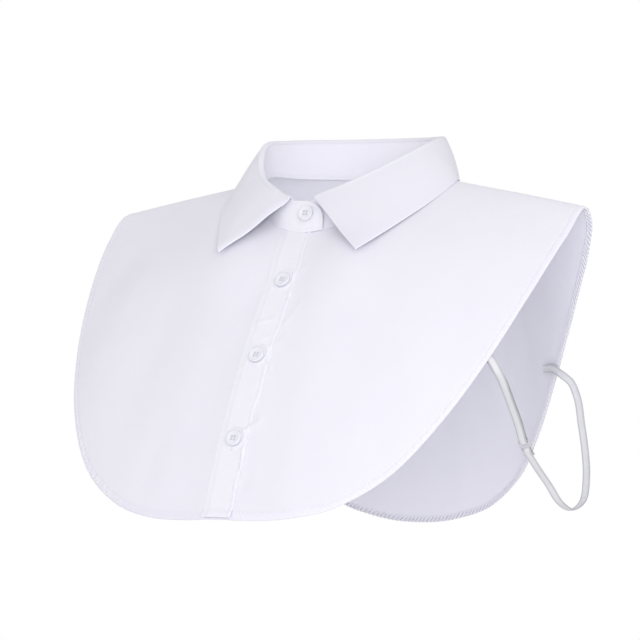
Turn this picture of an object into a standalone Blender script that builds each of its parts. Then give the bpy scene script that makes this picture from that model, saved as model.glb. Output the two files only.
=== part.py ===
"""A detachable shirt collar: a half shirt of two fronts and a back, with a stand, a turned-down leaf,
a buttoned placket and an adjustable elastic at each side.

It keeps the hollow form it has when worn. X is across (the wearer's left is +X), Y runs from the
front (-Y) to the back (+Y) and Z is up. The origin is the middle of the neck, level with the neck
seam at the sides of the front. Sizes are in millimetres and become metres where a mesh is made.
"""

import math

import bmesh
import bpy
import numpy as np
from mathutils import Matrix, Vector

METRE = 0.001
SEAM_GAP = 0.3

# Cloth
WALL = 1.2
HEM_WALL = 2.0
HEM_WIDTH = 6.5
HEM_STEP = 0.4
NORMAL_TURN = 0.5
NORMAL_REACH = 0.002
BODY_ROWS = 13
FRONT_COLUMNS = 15
BACK_COLUMNS = 36

# Neck ring, at the outside of the stand's lower edge
NECK_SIDE = 66.0
NECK_DEPTH = 67.0
RIGHT_EASE = 0.06  # how much wider the neck stands open on the wearer's right
RIGHT_LEAF_TURN = 7.4  # how much further round the leaf's front corner starts there
RIGHT_LEAF_EASE = 57.4  # and over how many degrees that runs out
RIGHT_LIFT = 2.0  # how much higher the leaf's edge lies there
RIGHT_SPREAD = 0.035  # and how much further out it stands behind

# The body, one row for each section line that runs from the neck seam to the hem.
# turn: degrees round the neck from the centre front; neck_z: the line's height at the neck;
# neck_rise: how far the cloth turns up there to meet the stand; hem_x, hem_y, hem_z: where the line ends;
# fullness: how far its middle stands off the straight line; neck_fullness: how much further it stands off
# near the neck, under the leaf's points; right_drop: how much lower the hem hangs on the wearer's right.
BODY_COLUMNS = (
    "turn",
    "neck_z",
    "neck_rise",
    "hem_x",
    "hem_y",
    "hem_z",
    "fullness",
    "neck_fullness",
    "right_drop",
)
BODY_SECTIONS = (
    (0, -22.3, 0.0, 0, -175.5, -217.0, 10.5, 0.5, 0.0),
    (9, -21.3, 0.0, 28, -177.0, -217.0, 10.5, 1.5, 0.5),
    (18, -18.8, 0.0, 57, -177.5, -214.7, 11.0, 4.5, 1.3),
    (28, -15.0, 0.0, 91, -172.0, -206.5, 12.0, 7.0, 0.5),
    (39, -9.5, 0.5, 126, -155.0, -183.0, 14.0, 5.5, 1.0),
    (48, -4.5, 1.0, 149, -134.0, -151.0, 15.0, 3.0, 0.5),
    (58, 2.0, 2.0, 168, -105.0, -110.0, 13.0, 0.8, 0.0),
    (68, 8.5, 3.5, 181, -73.0, -68.0, 8.0, 0.0, 0.0),
    (79, 14.5, 4.5, 190, -36.0, -27.0, 3.5, 0.0, 0.0),
    (90, 17.5, 5.0, 191.5, -6.0, -6.5, 0.8, 0.0, 0.0),
    (94, 17.8, 5.0, 191, 2.0, -17.0, 2.0, 0.0, 0.0),
    (99, 18.3, 4.3, 184, 10.0, -36.0, 6.0, 0.0, 0.0),
    (106, 19.2, 3.0, 166, 25.0, -72.0, 11.0, 0.0, 0.0),
    (116, 20.3, 1.5, 142, 44.0, -118.0, 18.0, 0.0, 0.0),
    (128, 21.2, 0.5, 114, 65.0, -166.0, 18.0, 0.0, 0.0),
    (140, 21.6, 0.0, 91, 79.0, -197.5, 16.0, 0.0, 0.0),
    (151, 21.6, 0.0, 66, 85.0, -217.5, 14.0, 0.0, 0.0),
    (164, 21.6, 0.0, 37, 87.0, -227.8, 13.0, 0.0, 0.0),
    (180, 21.6, 0.0, 0, 88.0, -232.0, 12.0, 0.0, 0.0),
)
NECK_RISE_POWER = 12
NECK_FULL_REACH = 0.19
SHOULDER_TURN = 90.0

# Fronts and placket
PLACKET_LINES = (-12.0, -8.0, -4.0, 0.0, 4.0, 8.0, 11.5)
PLACKET_WALL = 1.3
RIGHT_FRONT_LINES = (-8.4, -12.0)
LEFT_FRONT_LINES = (-8.0, -4.0, 0.0, 4.0, 8.0, 11.6, 12.0)
BUTTON_STAND_FOLD_X = 12.0

# Collar, one row for each section of the leaf from its front edge to the centre back.
# fold_turn: where the section meets the fold; edge_x, edge_y, edge_z: the leaf's outer edge.
LEAF_COLUMNS = ("fold_turn", "edge_x", "edge_y", "edge_z")
LEAF_SECTIONS = (
    (5.6, 57, -91, -34.0),
    (22, 70, -69, -20.5),
    (42, 82, -46, -5.6),
    (63, 89, -22, 8.8),
    (84, 88, -3, 17.0),
    (103, 80, 15, 17.6),
    (122, 66, 38, 14.5),
    (142, 48, 57, 12.5),
    (162, 26, 71, 11.0),
    (180, 0, 76, 10.5),
)
# The height of the fold's crest at each turn round the neck, on the wearer's left and right.
FOLD_COLUMNS = ("turn", "left_z", "right_z")
FOLD_HEIGHTS = (
    (0, 3.4, 3.4),
    (15, 8.0, 4.2),
    (30, 15.0, 11.2),
    (50, 25.5, 21.0),
    (65, 33.2, 35.0),
    (80, 39.9, 44.4),
    (100, 45.6, 47.2),
    (120, 48.0, 48.4),
    (150, 49.1, 49.1),
    (180, 49.4, 49.4),
)
FOLD_SIDE = 63.2
FOLD_FRONT = 60.6
FOLD_BACK = 62.2
LEAF_WALL = 1.3
LEAF_BULGE = 1.5
LEAF_COLUMNS_MADE = 54
LEAF_ROWS = 5
# The roll over the stand: half an ellipse whose middle is out from the stand's face and under the crest.
ROLL_OUT = 0.9
ROLL_ACROSS = 2.5
ROLL_DEPTH = 2.05
ROLL_STEPS = 5
STAND_WALL = 1.6
STAND_BELOW_FOLD = 2.75
STAND_INSIDE_NECK = 0.4
STAND_LIFT = 0.3
STAND_FRONT_LIFT = 1.3
STAND_FRONT_PROUD = 1.4
STAND_FRONT_TURNS = (14.0, 32.0)
STAND_COLUMNS = 58
STAND_ROWS = 2
TAB_REACH = 14.5
END_CORNER = 19.0
END_CORNER_STEPS = 6
UNDERLAP_TURN = 45.0
UNDERLAP_INSET = 2.1

# Buttons
BUTTON_HOLE_RADIUS = 0.8
BUTTON_HOLE_OFFSET = 1.5
BUTTON_SIDES = 20
BUTTON_HOLE_SIDES = 6
BUTTON_LIFT = 0.5
BUTTON_X = 0.5
BUTTON_PROFILE = ((0, 0), (4.6, 0), (5.75, 0.9), (5.5, 2.0), (4.6, 2.4), (3.6, 1.6), (0, 1.4))
STAND_BUTTON_Z = -8.5
PLACKET_BUTTON_Z = (-56.0, -107.5, -163.5)

# Side straps, the places on the wearer's left. An anchor is (turn, distance up from the hem's edge).
STRAP_WIDTH = 5.5
STRAP_WALL = 0.8
STRAP_LAYER = 1.35
STRAP_SEWN_LAYER = 1.0
SEWN_EASE = 0.45
FRONT_ANCHOR = ((57.1, 14.3), (57.8, 7.7), (58.5, 1.2))
BACK_ANCHOR = ((117.0, 5.0), (119.0, 13.0), (121.0, 21.0))
SLIDER_MIDDLE = (167.0, -50.0, -168.0)
SLIDER_LENGTH = 9.0
SLIDER_WIDTH = 8.5
SLIDER_BAR = 1.1
SLIDER_WALL = 1.0
TAPE_TURN = 24.0
STRAP_DROP = (
    (171.0, -98.0, -116.0),
    (171.5, -91.0, -123.0),
    (170.0, -76.0, -138.5),
    (168.0, -61.5, -153.5),
)
ELASTIC_ROUTE = (
    (169, -37, -183),
    (171, -25, -195),
    (173.5, -13, -208),
    (175, 1.5, -213.5),
    (176, 15.5, -208.5),
    (173, 27, -193),
    (168, 35, -176),
    (163, 39, -157),
    (157.6, 41, -135),
    (153.5, 40.5, -126.5),
    (147.5, 39, -121.5),
)

WHITE_CLOTH = (0.86, 0.86, 0.89)
WHITE_TAPE = (0.80, 0.80, 0.80)
PEARL_PLASTIC = (0.85, 0.85, 0.88)
CLEAR_PLASTIC = (0.82, 0.82, 0.84)


def clear_scene():
    for old in list(bpy.data.objects):
        bpy.data.objects.remove(old, do_unlink=True)


def material(name, colour, roughness):
    made = bpy.data.materials.new(name)
    made.use_nodes = True
    shader = made.node_tree.nodes["Principled BSDF"]
    shader.inputs["Base Color"].default_value = (*colour, 1.0)
    shader.inputs["Roughness"].default_value = roughness
    shader.inputs["Metallic"].default_value = 0.0
    made.diffuse_color = (*colour, 1.0)
    return made


def with_slopes(stations, values):
    return stations, values, np.gradient(values, stations, axis=0)


def curve(line, at):
    """The value at one station of a smooth curve through a line's values."""
    stations, values, slopes = line
    k = min(max(int(np.searchsorted(stations, at)) - 1, 0), len(stations) - 2)
    step = stations[k + 1] - stations[k]
    s = (at - stations[k]) / step
    return (
        values[k] * (1 + 2 * s) * (1 - s) ** 2
        + values[k + 1] * s * s * (3 - 2 * s)
        + step * (slopes[k] * s * (1 - s) ** 2 - slopes[k + 1] * s * s * (1 - s))
    )


def table_column(rows, names, name, odd=False):
    """A table's turns and one of its columns, mirrored about the centre front and the centre back."""
    turns = np.array([row[0] for row in rows], float)
    values = np.array([row[names.index(name)] for row in rows], float)
    side = -1.0 if odd else 1.0
    long_turns = np.concatenate([-turns[:0:-1], turns, 360.0 - turns[-2::-1]])
    return with_slopes(long_turns, np.concatenate([side * values[:0:-1], values, side * values[-2::-1]]))


BODY_CURVES = {
    name: table_column(BODY_SECTIONS, BODY_COLUMNS, name, odd=name == "hem_x") for name in BODY_COLUMNS[1:]
}
FOLD_CURVES = {name: table_column(FOLD_HEIGHTS, FOLD_COLUMNS, name) for name in FOLD_COLUMNS[1:]}


def body_value(name, turn):
    return float(curve(BODY_CURVES[name], abs(turn)))


def ring_point(turn, side, depth, height):
    """A place on an oval round the neck; a turn below zero is on the wearer's right."""
    a = math.radians(turn)
    ease = 1 + (RIGHT_EASE * math.sin(a) ** 2 if turn < 0 else 0.0)
    return np.array([side * ease * math.sin(a), -depth * ease * math.cos(a), height])


def neck_point(turn):
    return ring_point(turn, NECK_SIDE, NECK_DEPTH, body_value("neck_z", turn) + body_value("neck_rise", turn))


def hem_point(turn):
    drop = body_value("right_drop", turn) if turn < 0 else 0.0
    across = body_value("hem_x", turn) * (-1 if turn < 0 else 1)
    return np.array([across, body_value("hem_y", turn), body_value("hem_z", turn) - drop])


def body_point(turn, reach):
    """The outer face, a share reach of the way from the neck seam to the hem on the section at turn."""
    neck, hem = neck_point(turn), hem_point(turn)
    rise = body_value("neck_rise", turn)
    neck[2] -= rise
    chord = hem - neck
    flat = math.hypot(chord[0], chord[1])
    off = np.array([chord[0] / flat * -chord[2], chord[1] / flat * -chord[2], flat])
    off /= np.linalg.norm(off)
    near_neck = (reach / NECK_FULL_REACH * math.exp(1 - reach / NECK_FULL_REACH)) ** 2
    stand_off = body_value("fullness", turn) * 4 * reach * (1 - reach)
    place = neck + chord * reach + off * (stand_off + body_value("neck_fullness", turn) * near_neck)
    place[2] += rise * (1 - reach) ** NECK_RISE_POWER
    return place


def section_length(turn):
    return float(np.linalg.norm(hem_point(turn) - neck_point(turn)))


def turn_at(x, reach):
    """The turn whose section is x from the centre front at that reach."""
    low, high = 0.0, 60.0
    for _ in range(40):
        middle = (low + high) / 2
        if abs(body_point(math.copysign(middle, x), reach)[0]) < abs(x):
            low = middle
        else:
            high = middle
    return math.copysign(low, x)


def reaches(turn):
    """Shares of a section: even steps over the body, then the step and the edge of the turned hem."""
    length = section_length(turn)
    hem_start = 1 - HEM_WIDTH / length
    return [hem_start * k / BODY_ROWS for k in range(BODY_ROWS + 1)] + [hem_start + HEM_STEP / length, 1.0]


def body_normal(turn, reach):
    """The outward normal of the body's outer face."""
    round_it = body_point(turn + NORMAL_TURN, reach) - body_point(turn - NORMAL_TURN, reach)
    down = body_point(turn, reach + NORMAL_REACH) - body_point(turn, reach - NORMAL_REACH)
    normal = np.cross(down, round_it)
    return normal / np.linalg.norm(normal)


def panel(name, turns, rows, walls, lift, made_of):
    """A wall of the body on a grid of turns and reaches: its outer face is lift above the body's."""
    points = np.array([[body_point(*place) for place in zip(*line)] for line in zip(turns, rows)])
    normals = np.array([[body_normal(*place) for place in zip(*line)] for line in zip(turns, rows)])
    for edge, before in ((0, 1), (-1, -2)):
        if abs(abs(turns[edge][0]) - SHOULDER_TURN) < NORMAL_TURN:
            back = points[before] - points[edge]
            points[edge] += back / np.linalg.norm(back, axis=1, keepdims=True) * SEAM_GAP * 0.7
    outer = points + normals * lift
    wall(name, outer, outer - normals * np.array(walls)[:, :, None], made_of)


def finish_object(name, mesh_maker, made_of):
    bmesh.ops.recalc_face_normals(mesh_maker, faces=mesh_maker.faces)
    if mesh_maker.calc_volume(signed=True) < 0:
        bmesh.ops.reverse_faces(mesh_maker, faces=mesh_maker.faces)
    mesh = bpy.data.meshes.new(name)
    mesh_maker.to_mesh(mesh)
    mesh_maker.free()
    mesh.materials.append(made_of)
    mesh.shade_smooth()
    mesh.set_sharp_from_angle(angle=math.radians(40))
    made = bpy.data.objects.new(name, mesh)
    bpy.context.scene.collection.objects.link(made)
    return made


def wall(name, outer, inner, made_of):
    """A closed wall between two grids of points of the same size."""
    columns, rows = outer.shape[:2]
    bm = bmesh.new()
    bmesh.ops.create_grid(bm, x_segments=rows - 1, y_segments=columns - 1, size=1)
    place = bm.verts.layers.int.new("place")
    outer, inner = outer.reshape(-1, 3), inner.reshape(-1, 3)
    for k, vertex in enumerate(bm.verts):
        vertex[place] = k
    made = bmesh.ops.extrude_face_region(bm, geom=bm.faces[:], use_keep_orig=True)
    new = {v for v in made["geom"] if isinstance(v, bmesh.types.BMVert)}
    for vertex in bm.verts:
        points = inner if vertex in new else outer
        vertex.co = Vector(points[vertex[place]]) * METRE
    return finish_object(name, bm, made_of)


def hem_walls(rows, wide=WALL):
    return [HEM_WALL if k > BODY_ROWS else wide for k in range(len(rows))]


def make_front(name, lines, side, cloth):
    """A front: lines of constant X at its centre edge, then sections that fan out to the shoulder."""
    turns, rows, walls = [], [], []
    for x in lines:
        folded = side > 0 and x < BUTTON_STAND_FOLD_X
        rows.append(reaches(turn_at(x, 1.0)))
        turns.append([turn_at(x, reach) for reach in rows[-1]])
        walls.append(hem_walls(rows[-1], HEM_WALL if folded else WALL))
    for column in range(1, FRONT_COLUMNS + 1):
        share = column / FRONT_COLUMNS
        shoulder = side * SHOULDER_TURN
        rows.append(reaches(turn_at(lines[-1], 1.0) * (1 - share) + shoulder * share))
        turns.append([turn_at(lines[-1], reach) * (1 - share) + shoulder * share for reach in rows[-1]])
        walls.append(hem_walls(rows[-1]))
    panel(name, turns, rows, walls, 0.0, cloth)


def make_back(cloth):
    turns, rows, walls = [], [], []
    for turn in np.linspace(SHOULDER_TURN, 360 - SHOULDER_TURN, BACK_COLUMNS + 1):
        near = turn if turn <= 180 else turn - 360
        rows.append(reaches(near))
        turns.append([near] * len(rows[-1]))
        walls.append(hem_walls(rows[-1]))
    panel("back", turns, rows, walls, 0.0, cloth)


def make_placket(cloth):
    """The buttonhole band on the wearer's right front, laid over both fronts."""
    rows = [reaches(0.0)] * len(PLACKET_LINES)
    turns = [[turn_at(x, reach) for reach in rows[0]] for x in PLACKET_LINES]
    walls = [[PLACKET_WALL] * len(rows[0])] * len(PLACKET_LINES)
    panel("placket", turns, rows, walls, SEAM_GAP + PLACKET_WALL, cloth)


def fold_point(turn):
    """The crest of the fold, above the outer face of the stand's top edge."""
    height = float(curve(FOLD_CURVES["right_z" if turn < 0 else "left_z"], abs(turn)))
    return ring_point(turn, FOLD_SIDE, FOLD_FRONT if abs(turn) < 90 else FOLD_BACK, height)


def stand_foot(turn):
    """The outer face of the stand's lower edge: inside the neck seam, but proud of the placket in front."""
    near, far = STAND_FRONT_TURNS
    front = min(1.0, max(0.0, (far - abs(turn)) / (far - near)))
    front = front * front * (3 - 2 * front)
    out = STAND_FRONT_PROUD * front - STAND_INSIDE_NECK * (1 - front)
    foot = neck_point(turn) + ring_outward(turn) * out
    foot[2] += STAND_FRONT_LIFT * front + STAND_LIFT * (1 - front)
    return foot


def ring_outward(turn):
    a = math.radians(turn)
    return np.array([math.sin(a), -math.cos(a), 0.0])


def make_stand(cloth):
    """The stand goes once round the neck. Its right end is the tab on top, its left end lies inside it."""
    tab_turn = math.degrees(math.asin(TAB_REACH / NECK_SIDE))
    whole = 360 + 2 * tab_turn
    round_corner = 1 - np.cos(np.linspace(0, math.pi / 2, END_CORNER_STEPS + 1))
    corner_turns = np.degrees(END_CORNER / NECK_SIDE * round_corner)
    middle = np.linspace(corner_turns[-1], whole - corner_turns[-1], STAND_COLUMNS + 1)[1:-1]
    points = []
    for travelled in [*corner_turns, *middle, *(whole - corner_turns[::-1])]:
        turn = tab_turn - travelled
        near = turn + 360 if turn < -180 else turn
        low = stand_foot(near)
        high = fold_point(near)
        high[2] -= STAND_BELOW_FOLD
        left_end = max(0.0, travelled - (360 + tab_turn - UNDERLAP_TURN)) / UNDERLAP_TURN
        inset = UNDERLAP_INSET * min(1.0, left_end * 1.5)
        from_end = math.radians(min(travelled, whole - travelled)) * NECK_SIDE
        corner = max(0.0, END_CORNER - from_end)
        drop = END_CORNER - math.sqrt(max(0.0, END_CORNER**2 - corner**2))
        low = low - ring_outward(near) * inset
        high = high - ring_outward(near) * inset
        share = 1 - drop / (high[2] - low[2])
        points.append([low + (high - low) * share * row / STAND_ROWS for row in range(STAND_ROWS + 1)])
    points = np.array(points)
    outward = points * np.array([1.0, 1.0, 0.0])
    outward /= np.linalg.norm(outward, axis=2, keepdims=True)
    return wall("collar_stand", points, points - outward * STAND_WALL, cloth)


def leaf_edge(share):
    """The turn at the fold and the outer edge, share running from the left front corner to the right one."""
    half = np.array(LEAF_SECTIONS, float)
    mirrored = [-1.0 if name in ("fold_turn", "edge_x") else 1.0 for name in LEAF_COLUMNS]
    other = half[-2::-1] * np.array(mirrored)
    a = np.radians(other[:, 0])
    other[:, 3] += RIGHT_LIFT * np.sin(a) ** 2
    other[:, 1:3] *= 1 + RIGHT_SPREAD * np.where(np.cos(a) < 0, np.sin(2 * a) ** 2, 0.0)[:, None]
    from_front = -other[:, 0] - LEAF_SECTIONS[0][0]
    other[:, 0] += 360.0 - RIGHT_LEAF_TURN * np.clip(1 - from_front / RIGHT_LEAF_EASE, 0, 1)
    rows = np.concatenate([half, other])
    return curve(with_slopes(np.linspace(0, 1, len(rows)), rows), share)


def make_leaf(cloth):
    """The turned-down leaf: up from the stand, over the fold, and down to its outer edge."""
    outer, roll_inner = [], []
    for k in range(LEAF_COLUMNS_MADE + 1):
        turn, *edge = leaf_edge(k / LEAF_COLUMNS_MADE)
        near = turn if turn <= 180 else turn - 360
        away, up = ring_outward(near), np.array([0.0, 0.0, 1.0])
        middle = fold_point(near) + away * ROLL_OUT - up * ROLL_DEPTH
        roll, inside = [], []
        for a in np.linspace(0, math.pi, ROLL_STEPS + 1):
            roll.append(middle - away * ROLL_ACROSS * math.cos(a) + up * ROLL_DEPTH * math.sin(a))
            across, depth = ROLL_ACROSS - LEAF_WALL, ROLL_DEPTH - LEAF_WALL
            inside.append(middle - away * across * math.cos(a) + up * depth * math.sin(a))
        fall = np.array(edge) - roll[-1]
        face = np.cross(np.array([-away[1], away[0], 0.0]), fall)
        face *= math.copysign(1.0, face @ away) / np.linalg.norm(face)
        parts = [row / LEAF_ROWS for row in range(1, LEAF_ROWS + 1)]
        outer.append(roll + [roll[-1] + fall * p + face * LEAF_BULGE * 4 * p * (1 - p) for p in parts])
        roll_inner.append(inside)
    outer = np.array(outer)
    normals = np.cross(np.gradient(outer, axis=0), np.gradient(outer, axis=1))
    normals /= np.linalg.norm(normals, axis=2, keepdims=True)
    inner = outer + normals * LEAF_WALL * leaf_side(outer, normals)
    inner[:, : ROLL_STEPS + 1] = roll_inner
    return wall("collar_leaf", outer, inner, cloth)


def leaf_side(outer, normals):
    """1 where the normals point in to the neck along the leaf's lower edge, or else -1."""
    edge = (normals[:, -1] * outer[:, -1] * np.array([1.0, 1.0, 0.0])).sum(axis=1)
    return -math.copysign(1.0, float(np.median(edge)))


def reach_at_height(z):
    low, high = 0.0, 1.0
    for _ in range(40):
        middle = (low + high) / 2
        if body_point(0.0, middle)[2] > z:
            low = middle
        else:
            high = middle
    return low


def make_button(name, place, normal, made_of):
    bm = bmesh.new()
    line = [bm.verts.new((r * METRE, 0, z * METRE)) for r, z in BUTTON_PROFILE]
    edges = [bm.edges.new(pair) for pair in zip(line, line[1:])]
    bmesh.ops.spin(
        bm,
        geom=line + edges,
        cent=(0, 0, 0),
        axis=(0, 0, 1),
        angle=2 * math.pi,
        steps=BUTTON_SIDES,
        use_merge=True,
    )
    bmesh.ops.remove_doubles(bm, verts=bm.verts, dist=1e-6)
    made = finish_object(name, bm, made_of)
    seat = Vector(place) * METRE
    made.matrix_world = Matrix.Translation(seat) @ Vector(normal).to_track_quat("Z", "Y").to_matrix().to_4x4()
    holes = bmesh.new()
    for side in range(4):
        a = math.radians(41 + 90 * side)
        at = Matrix.Translation(
            Vector((BUTTON_HOLE_OFFSET * math.cos(a), BUTTON_HOLE_OFFSET * math.sin(a), 1.0)) * METRE
        )
        bmesh.ops.create_cone(
            holes,
            cap_ends=True,
            segments=BUTTON_HOLE_SIDES,
            radius1=BUTTON_HOLE_RADIUS * METRE,
            radius2=BUTTON_HOLE_RADIUS * METRE,
            depth=6 * METRE,
            matrix=at,
        )
    cutter = finish_object(name + "_hole_cutter", holes, made_of)
    cutter.matrix_world = made.matrix_world
    cutter.hide_render = True
    cutter.display_type = "WIRE"
    cut = made.modifiers.new("thread holes", "BOOLEAN")
    cut.operation = "DIFFERENCE"
    cut.solver = "EXACT"
    cut.object = cutter
    return made


def make_buttons(plastic):
    low, high = stand_foot(0.0), fold_point(0.0)
    place = low + (high - low) * (STAND_BUTTON_Z - low[2]) / (high[2] - low[2])
    place[0] = BUTTON_X
    lean = np.cross(high - low, [1.0, 0, 0])
    lean /= np.linalg.norm(lean)
    lean *= math.copysign(1.0, -lean[1])
    make_button("button_1", place + lean * BUTTON_LIFT, lean, plastic)
    for k, z in enumerate(PLACKET_BUTTON_Z):
        reach = reach_at_height(z)
        turn = turn_at(BUTTON_X, reach)
        place, normal = body_point(turn, reach), body_normal(turn, reach)
        lift = SEAM_GAP + PLACKET_WALL + BUTTON_LIFT
        make_button(f"button_{k + 2}", place + normal * lift, normal, plastic)


def smooth_route(points, steps):
    """Even points on a smooth curve through a short list of places."""
    points = np.array(points, float)
    along = np.concatenate([[0], np.cumsum(np.linalg.norm(np.diff(points, axis=0), axis=1))])
    line = with_slopes(along, points)
    return np.array([curve(line, at) for at in np.linspace(0, along[-1], steps)])


def tape(name, centre, widths, flip, made_of):
    """A flat tape along centre, with its width along widths."""
    way = np.gradient(centre, axis=0)
    way /= np.linalg.norm(way, axis=1, keepdims=True)
    widths = widths - way * (widths * way).sum(axis=1, keepdims=True)
    widths /= np.linalg.norm(widths, axis=1, keepdims=True)
    normal = np.cross(way, widths)
    grid = np.array([centre + widths * side * STRAP_WIDTH / 2 for side in (-1, 1)])
    outer, inner = grid + normal * STRAP_WALL / 2, grid - normal * STRAP_WALL / 2
    side = np.array([-1.0 if flip else 1.0, 1.0, 1.0])
    wall(name, outer * side, inner * side, made_of)


def anchor_place(turn, inset, layers):
    """A place for a tape of one or two layers sewn inside the hem, and the face's outward normal."""
    reach = 1 - inset / section_length(turn)
    normal = body_normal(turn, reach)
    depth = HEM_WALL + SEAM_GAP + STRAP_WALL / 2 + SEWN_EASE + (layers - 1) * STRAP_SEWN_LAYER
    return body_point(turn, reach) - normal * depth, normal


def slider_axes():
    """The slider's way down the strap, its width and its face."""
    way = np.array(ELASTIC_ROUTE[0]) - np.array(STRAP_DROP[-1])
    way = way / np.linalg.norm(way)
    width = np.array([1.0, 0.25, 0.0])
    width -= way * (width @ way)
    width /= np.linalg.norm(width)
    return way, width, np.cross(way, width)


def anchored_widths(route, anchor_normal, flat_length, width):
    """Width directions along a route that starts flat on a face and then turns to width."""
    way = np.gradient(route, axis=0)
    way /= np.linalg.norm(way, axis=1, keepdims=True)
    flat = np.cross(anchor_normal, way[0])
    flat *= math.copysign(1.0, flat @ width) / np.linalg.norm(flat)
    along = np.concatenate([[0], np.cumsum(np.linalg.norm(np.diff(route, axis=0), axis=1))])
    free = np.clip((along - flat_length) / TAPE_TURN, 0, 1)[:, None]
    return flat * (1 - free) + width * free


def bar_loop(bar, face, way):
    """Half a turn of tape round a bar, from the front layer to the back one."""
    return [bar + STRAP_LAYER * (face * math.cos(a) + way * math.sin(a)) for a in np.linspace(0, math.pi, 7)]


def make_strap(side_name, flip, tape_white, plastic):
    way, width, face = slider_axes()
    middle = np.array(SLIDER_MIDDLE)
    half = SLIDER_LENGTH / 2 - SLIDER_BAR / 2
    upper_bar, lower_bar = middle - way * half, middle + way * half

    sewn = [anchor_place(*place, layers=2) for place in FRONT_ANCHOR]
    places = [place for place, _ in sewn]
    route = smooth_route([*places, *STRAP_DROP, upper_bar - way * 2.5], 26)
    widths = anchored_widths(route, sewn[-1][1], np.linalg.norm(places[-1] - places[0]) + 2, width)
    apart = STRAP_LAYER - STRAP_SEWN_LAYER
    share = np.linspace(0, 1, len(route))[:, None]
    off = np.cross(np.gradient(route, axis=0), widths)
    off /= np.linalg.norm(off, axis=1, keepdims=True)
    front_layer = route + off * (apart * share + STRAP_SEWN_LAYER)
    back_layer = (route - off * (apart * share + STRAP_SEWN_LAYER))[::-1]
    loop = bar_loop(upper_bar, face, way)
    centre = np.concatenate([front_layer, loop, back_layer])
    bar_widths = np.repeat(width[None, :], len(loop), axis=0)
    all_widths = np.concatenate([widths, bar_widths, widths[::-1]])
    tape("strap_short_" + side_name, centre, all_widths, flip, tape_white)

    sewn = [anchor_place(*place, layers=1) for place in BACK_ANCHOR[::-1]]
    places = [place for place, _ in sewn]
    route = smooth_route([*places, *ELASTIC_ROUTE[::-1], lower_bar + way * 2.5], 44)
    widths = anchored_widths(route, sewn[-1][1], np.linalg.norm(places[-1] - places[0]) + 2, width)[::-1]
    route = route[::-1]
    ease = np.clip(1 - np.arange(len(route)) / 8, 0, 1)[:, None]
    tail = (route[:5] - face * STRAP_LAYER)[::-1]
    loop = bar_loop(lower_bar, -face, -way)
    centre = np.concatenate([tail, loop, route + face * STRAP_LAYER * ease])
    bar_widths = np.repeat(width[None, :], len(loop) + len(tail), axis=0)
    tape("strap_elastic_" + side_name, centre, np.concatenate([bar_widths, widths]), flip, tape_white)
    make_slider("slider_" + side_name, middle, way, width, face, flip, plastic)


def make_slider(name, middle, way, width, face, flip, made_of):
    """A flat ring with a bar across its middle."""
    bar_across, bar_along = SLIDER_BAR / SLIDER_WIDTH, SLIDER_BAR / SLIDER_LENGTH
    lines_across = (-0.5, -0.5 + bar_across, 0.5 - bar_across, 0.5)
    lines_along = (-0.5, -0.5 + bar_along, -bar_along / 2, bar_along / 2, 0.5 - bar_along, 0.5)
    bm = bmesh.new()
    bmesh.ops.create_grid(bm, x_segments=len(lines_across) - 1, y_segments=len(lines_along) - 1, size=1)
    for k, vertex in enumerate(bm.verts):
        vertex.co = (lines_across[k % len(lines_across)], lines_along[k // len(lines_across)], 0)
    centres = {face_made: face_made.calc_center_median() for face_made in bm.faces}
    windows = [made for made, at in centres.items() if abs(at.x) < 0.1 and 0.1 < abs(at.y) < 0.4]
    bmesh.ops.delete(bm, geom=windows, context="FACES")
    made = bmesh.ops.extrude_face_region(bm, geom=bm.faces[:], use_keep_orig=True)
    for vertex in [v for v in made["geom"] if isinstance(v, bmesh.types.BMVert)]:
        vertex.co.z = 1
    side = np.array([-1.0 if flip else 1.0, 1.0, 1.0])
    for vertex in bm.verts:
        x, y, z = vertex.co
        here = middle + width * x * SLIDER_WIDTH + way * y * SLIDER_LENGTH + face * (z - 0.5) * SLIDER_WALL
        vertex.co = Vector(here * side) * METRE
    finish_object(name, bm, made_of)


def main():
    clear_scene()
    cloth = material("white shirting", WHITE_CLOTH, 0.85)
    collar_cloth = material("white collar cloth", WHITE_CLOTH, 0.8)
    tape_white = material("white satin tape", WHITE_TAPE, 0.5)
    pearl = material("white button plastic", PEARL_PLASTIC, 0.3)
    clear = material("clear slider plastic", CLEAR_PLASTIC, 0.25)
    make_front("front_right", RIGHT_FRONT_LINES, -1, cloth)
    make_front("front_left", LEFT_FRONT_LINES, 1, cloth)
    make_back(cloth)
    make_placket(cloth)
    make_stand(collar_cloth)
    make_leaf(collar_cloth)
    make_buttons(pearl)
    make_strap("left", False, tape_white, clear)
    make_strap("right", True, tape_white, clear)


main()
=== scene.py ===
"""The looks of a detachable shirt collar: a white cotton half shirt with a stand, a turned-down leaf, a
buttoned placket and an adjustable elastic at each side, filled out with no wearer.

Sizes are in millimetres on the part's own sections and become metres where a mesh is made. X is across
(the wearer's left is +X), Y runs from the front (-Y) to the back (+Y) and Z is up.
"""

import math

import bmesh
import bpy
import numpy as np
from mathutils import Matrix, Vector


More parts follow.
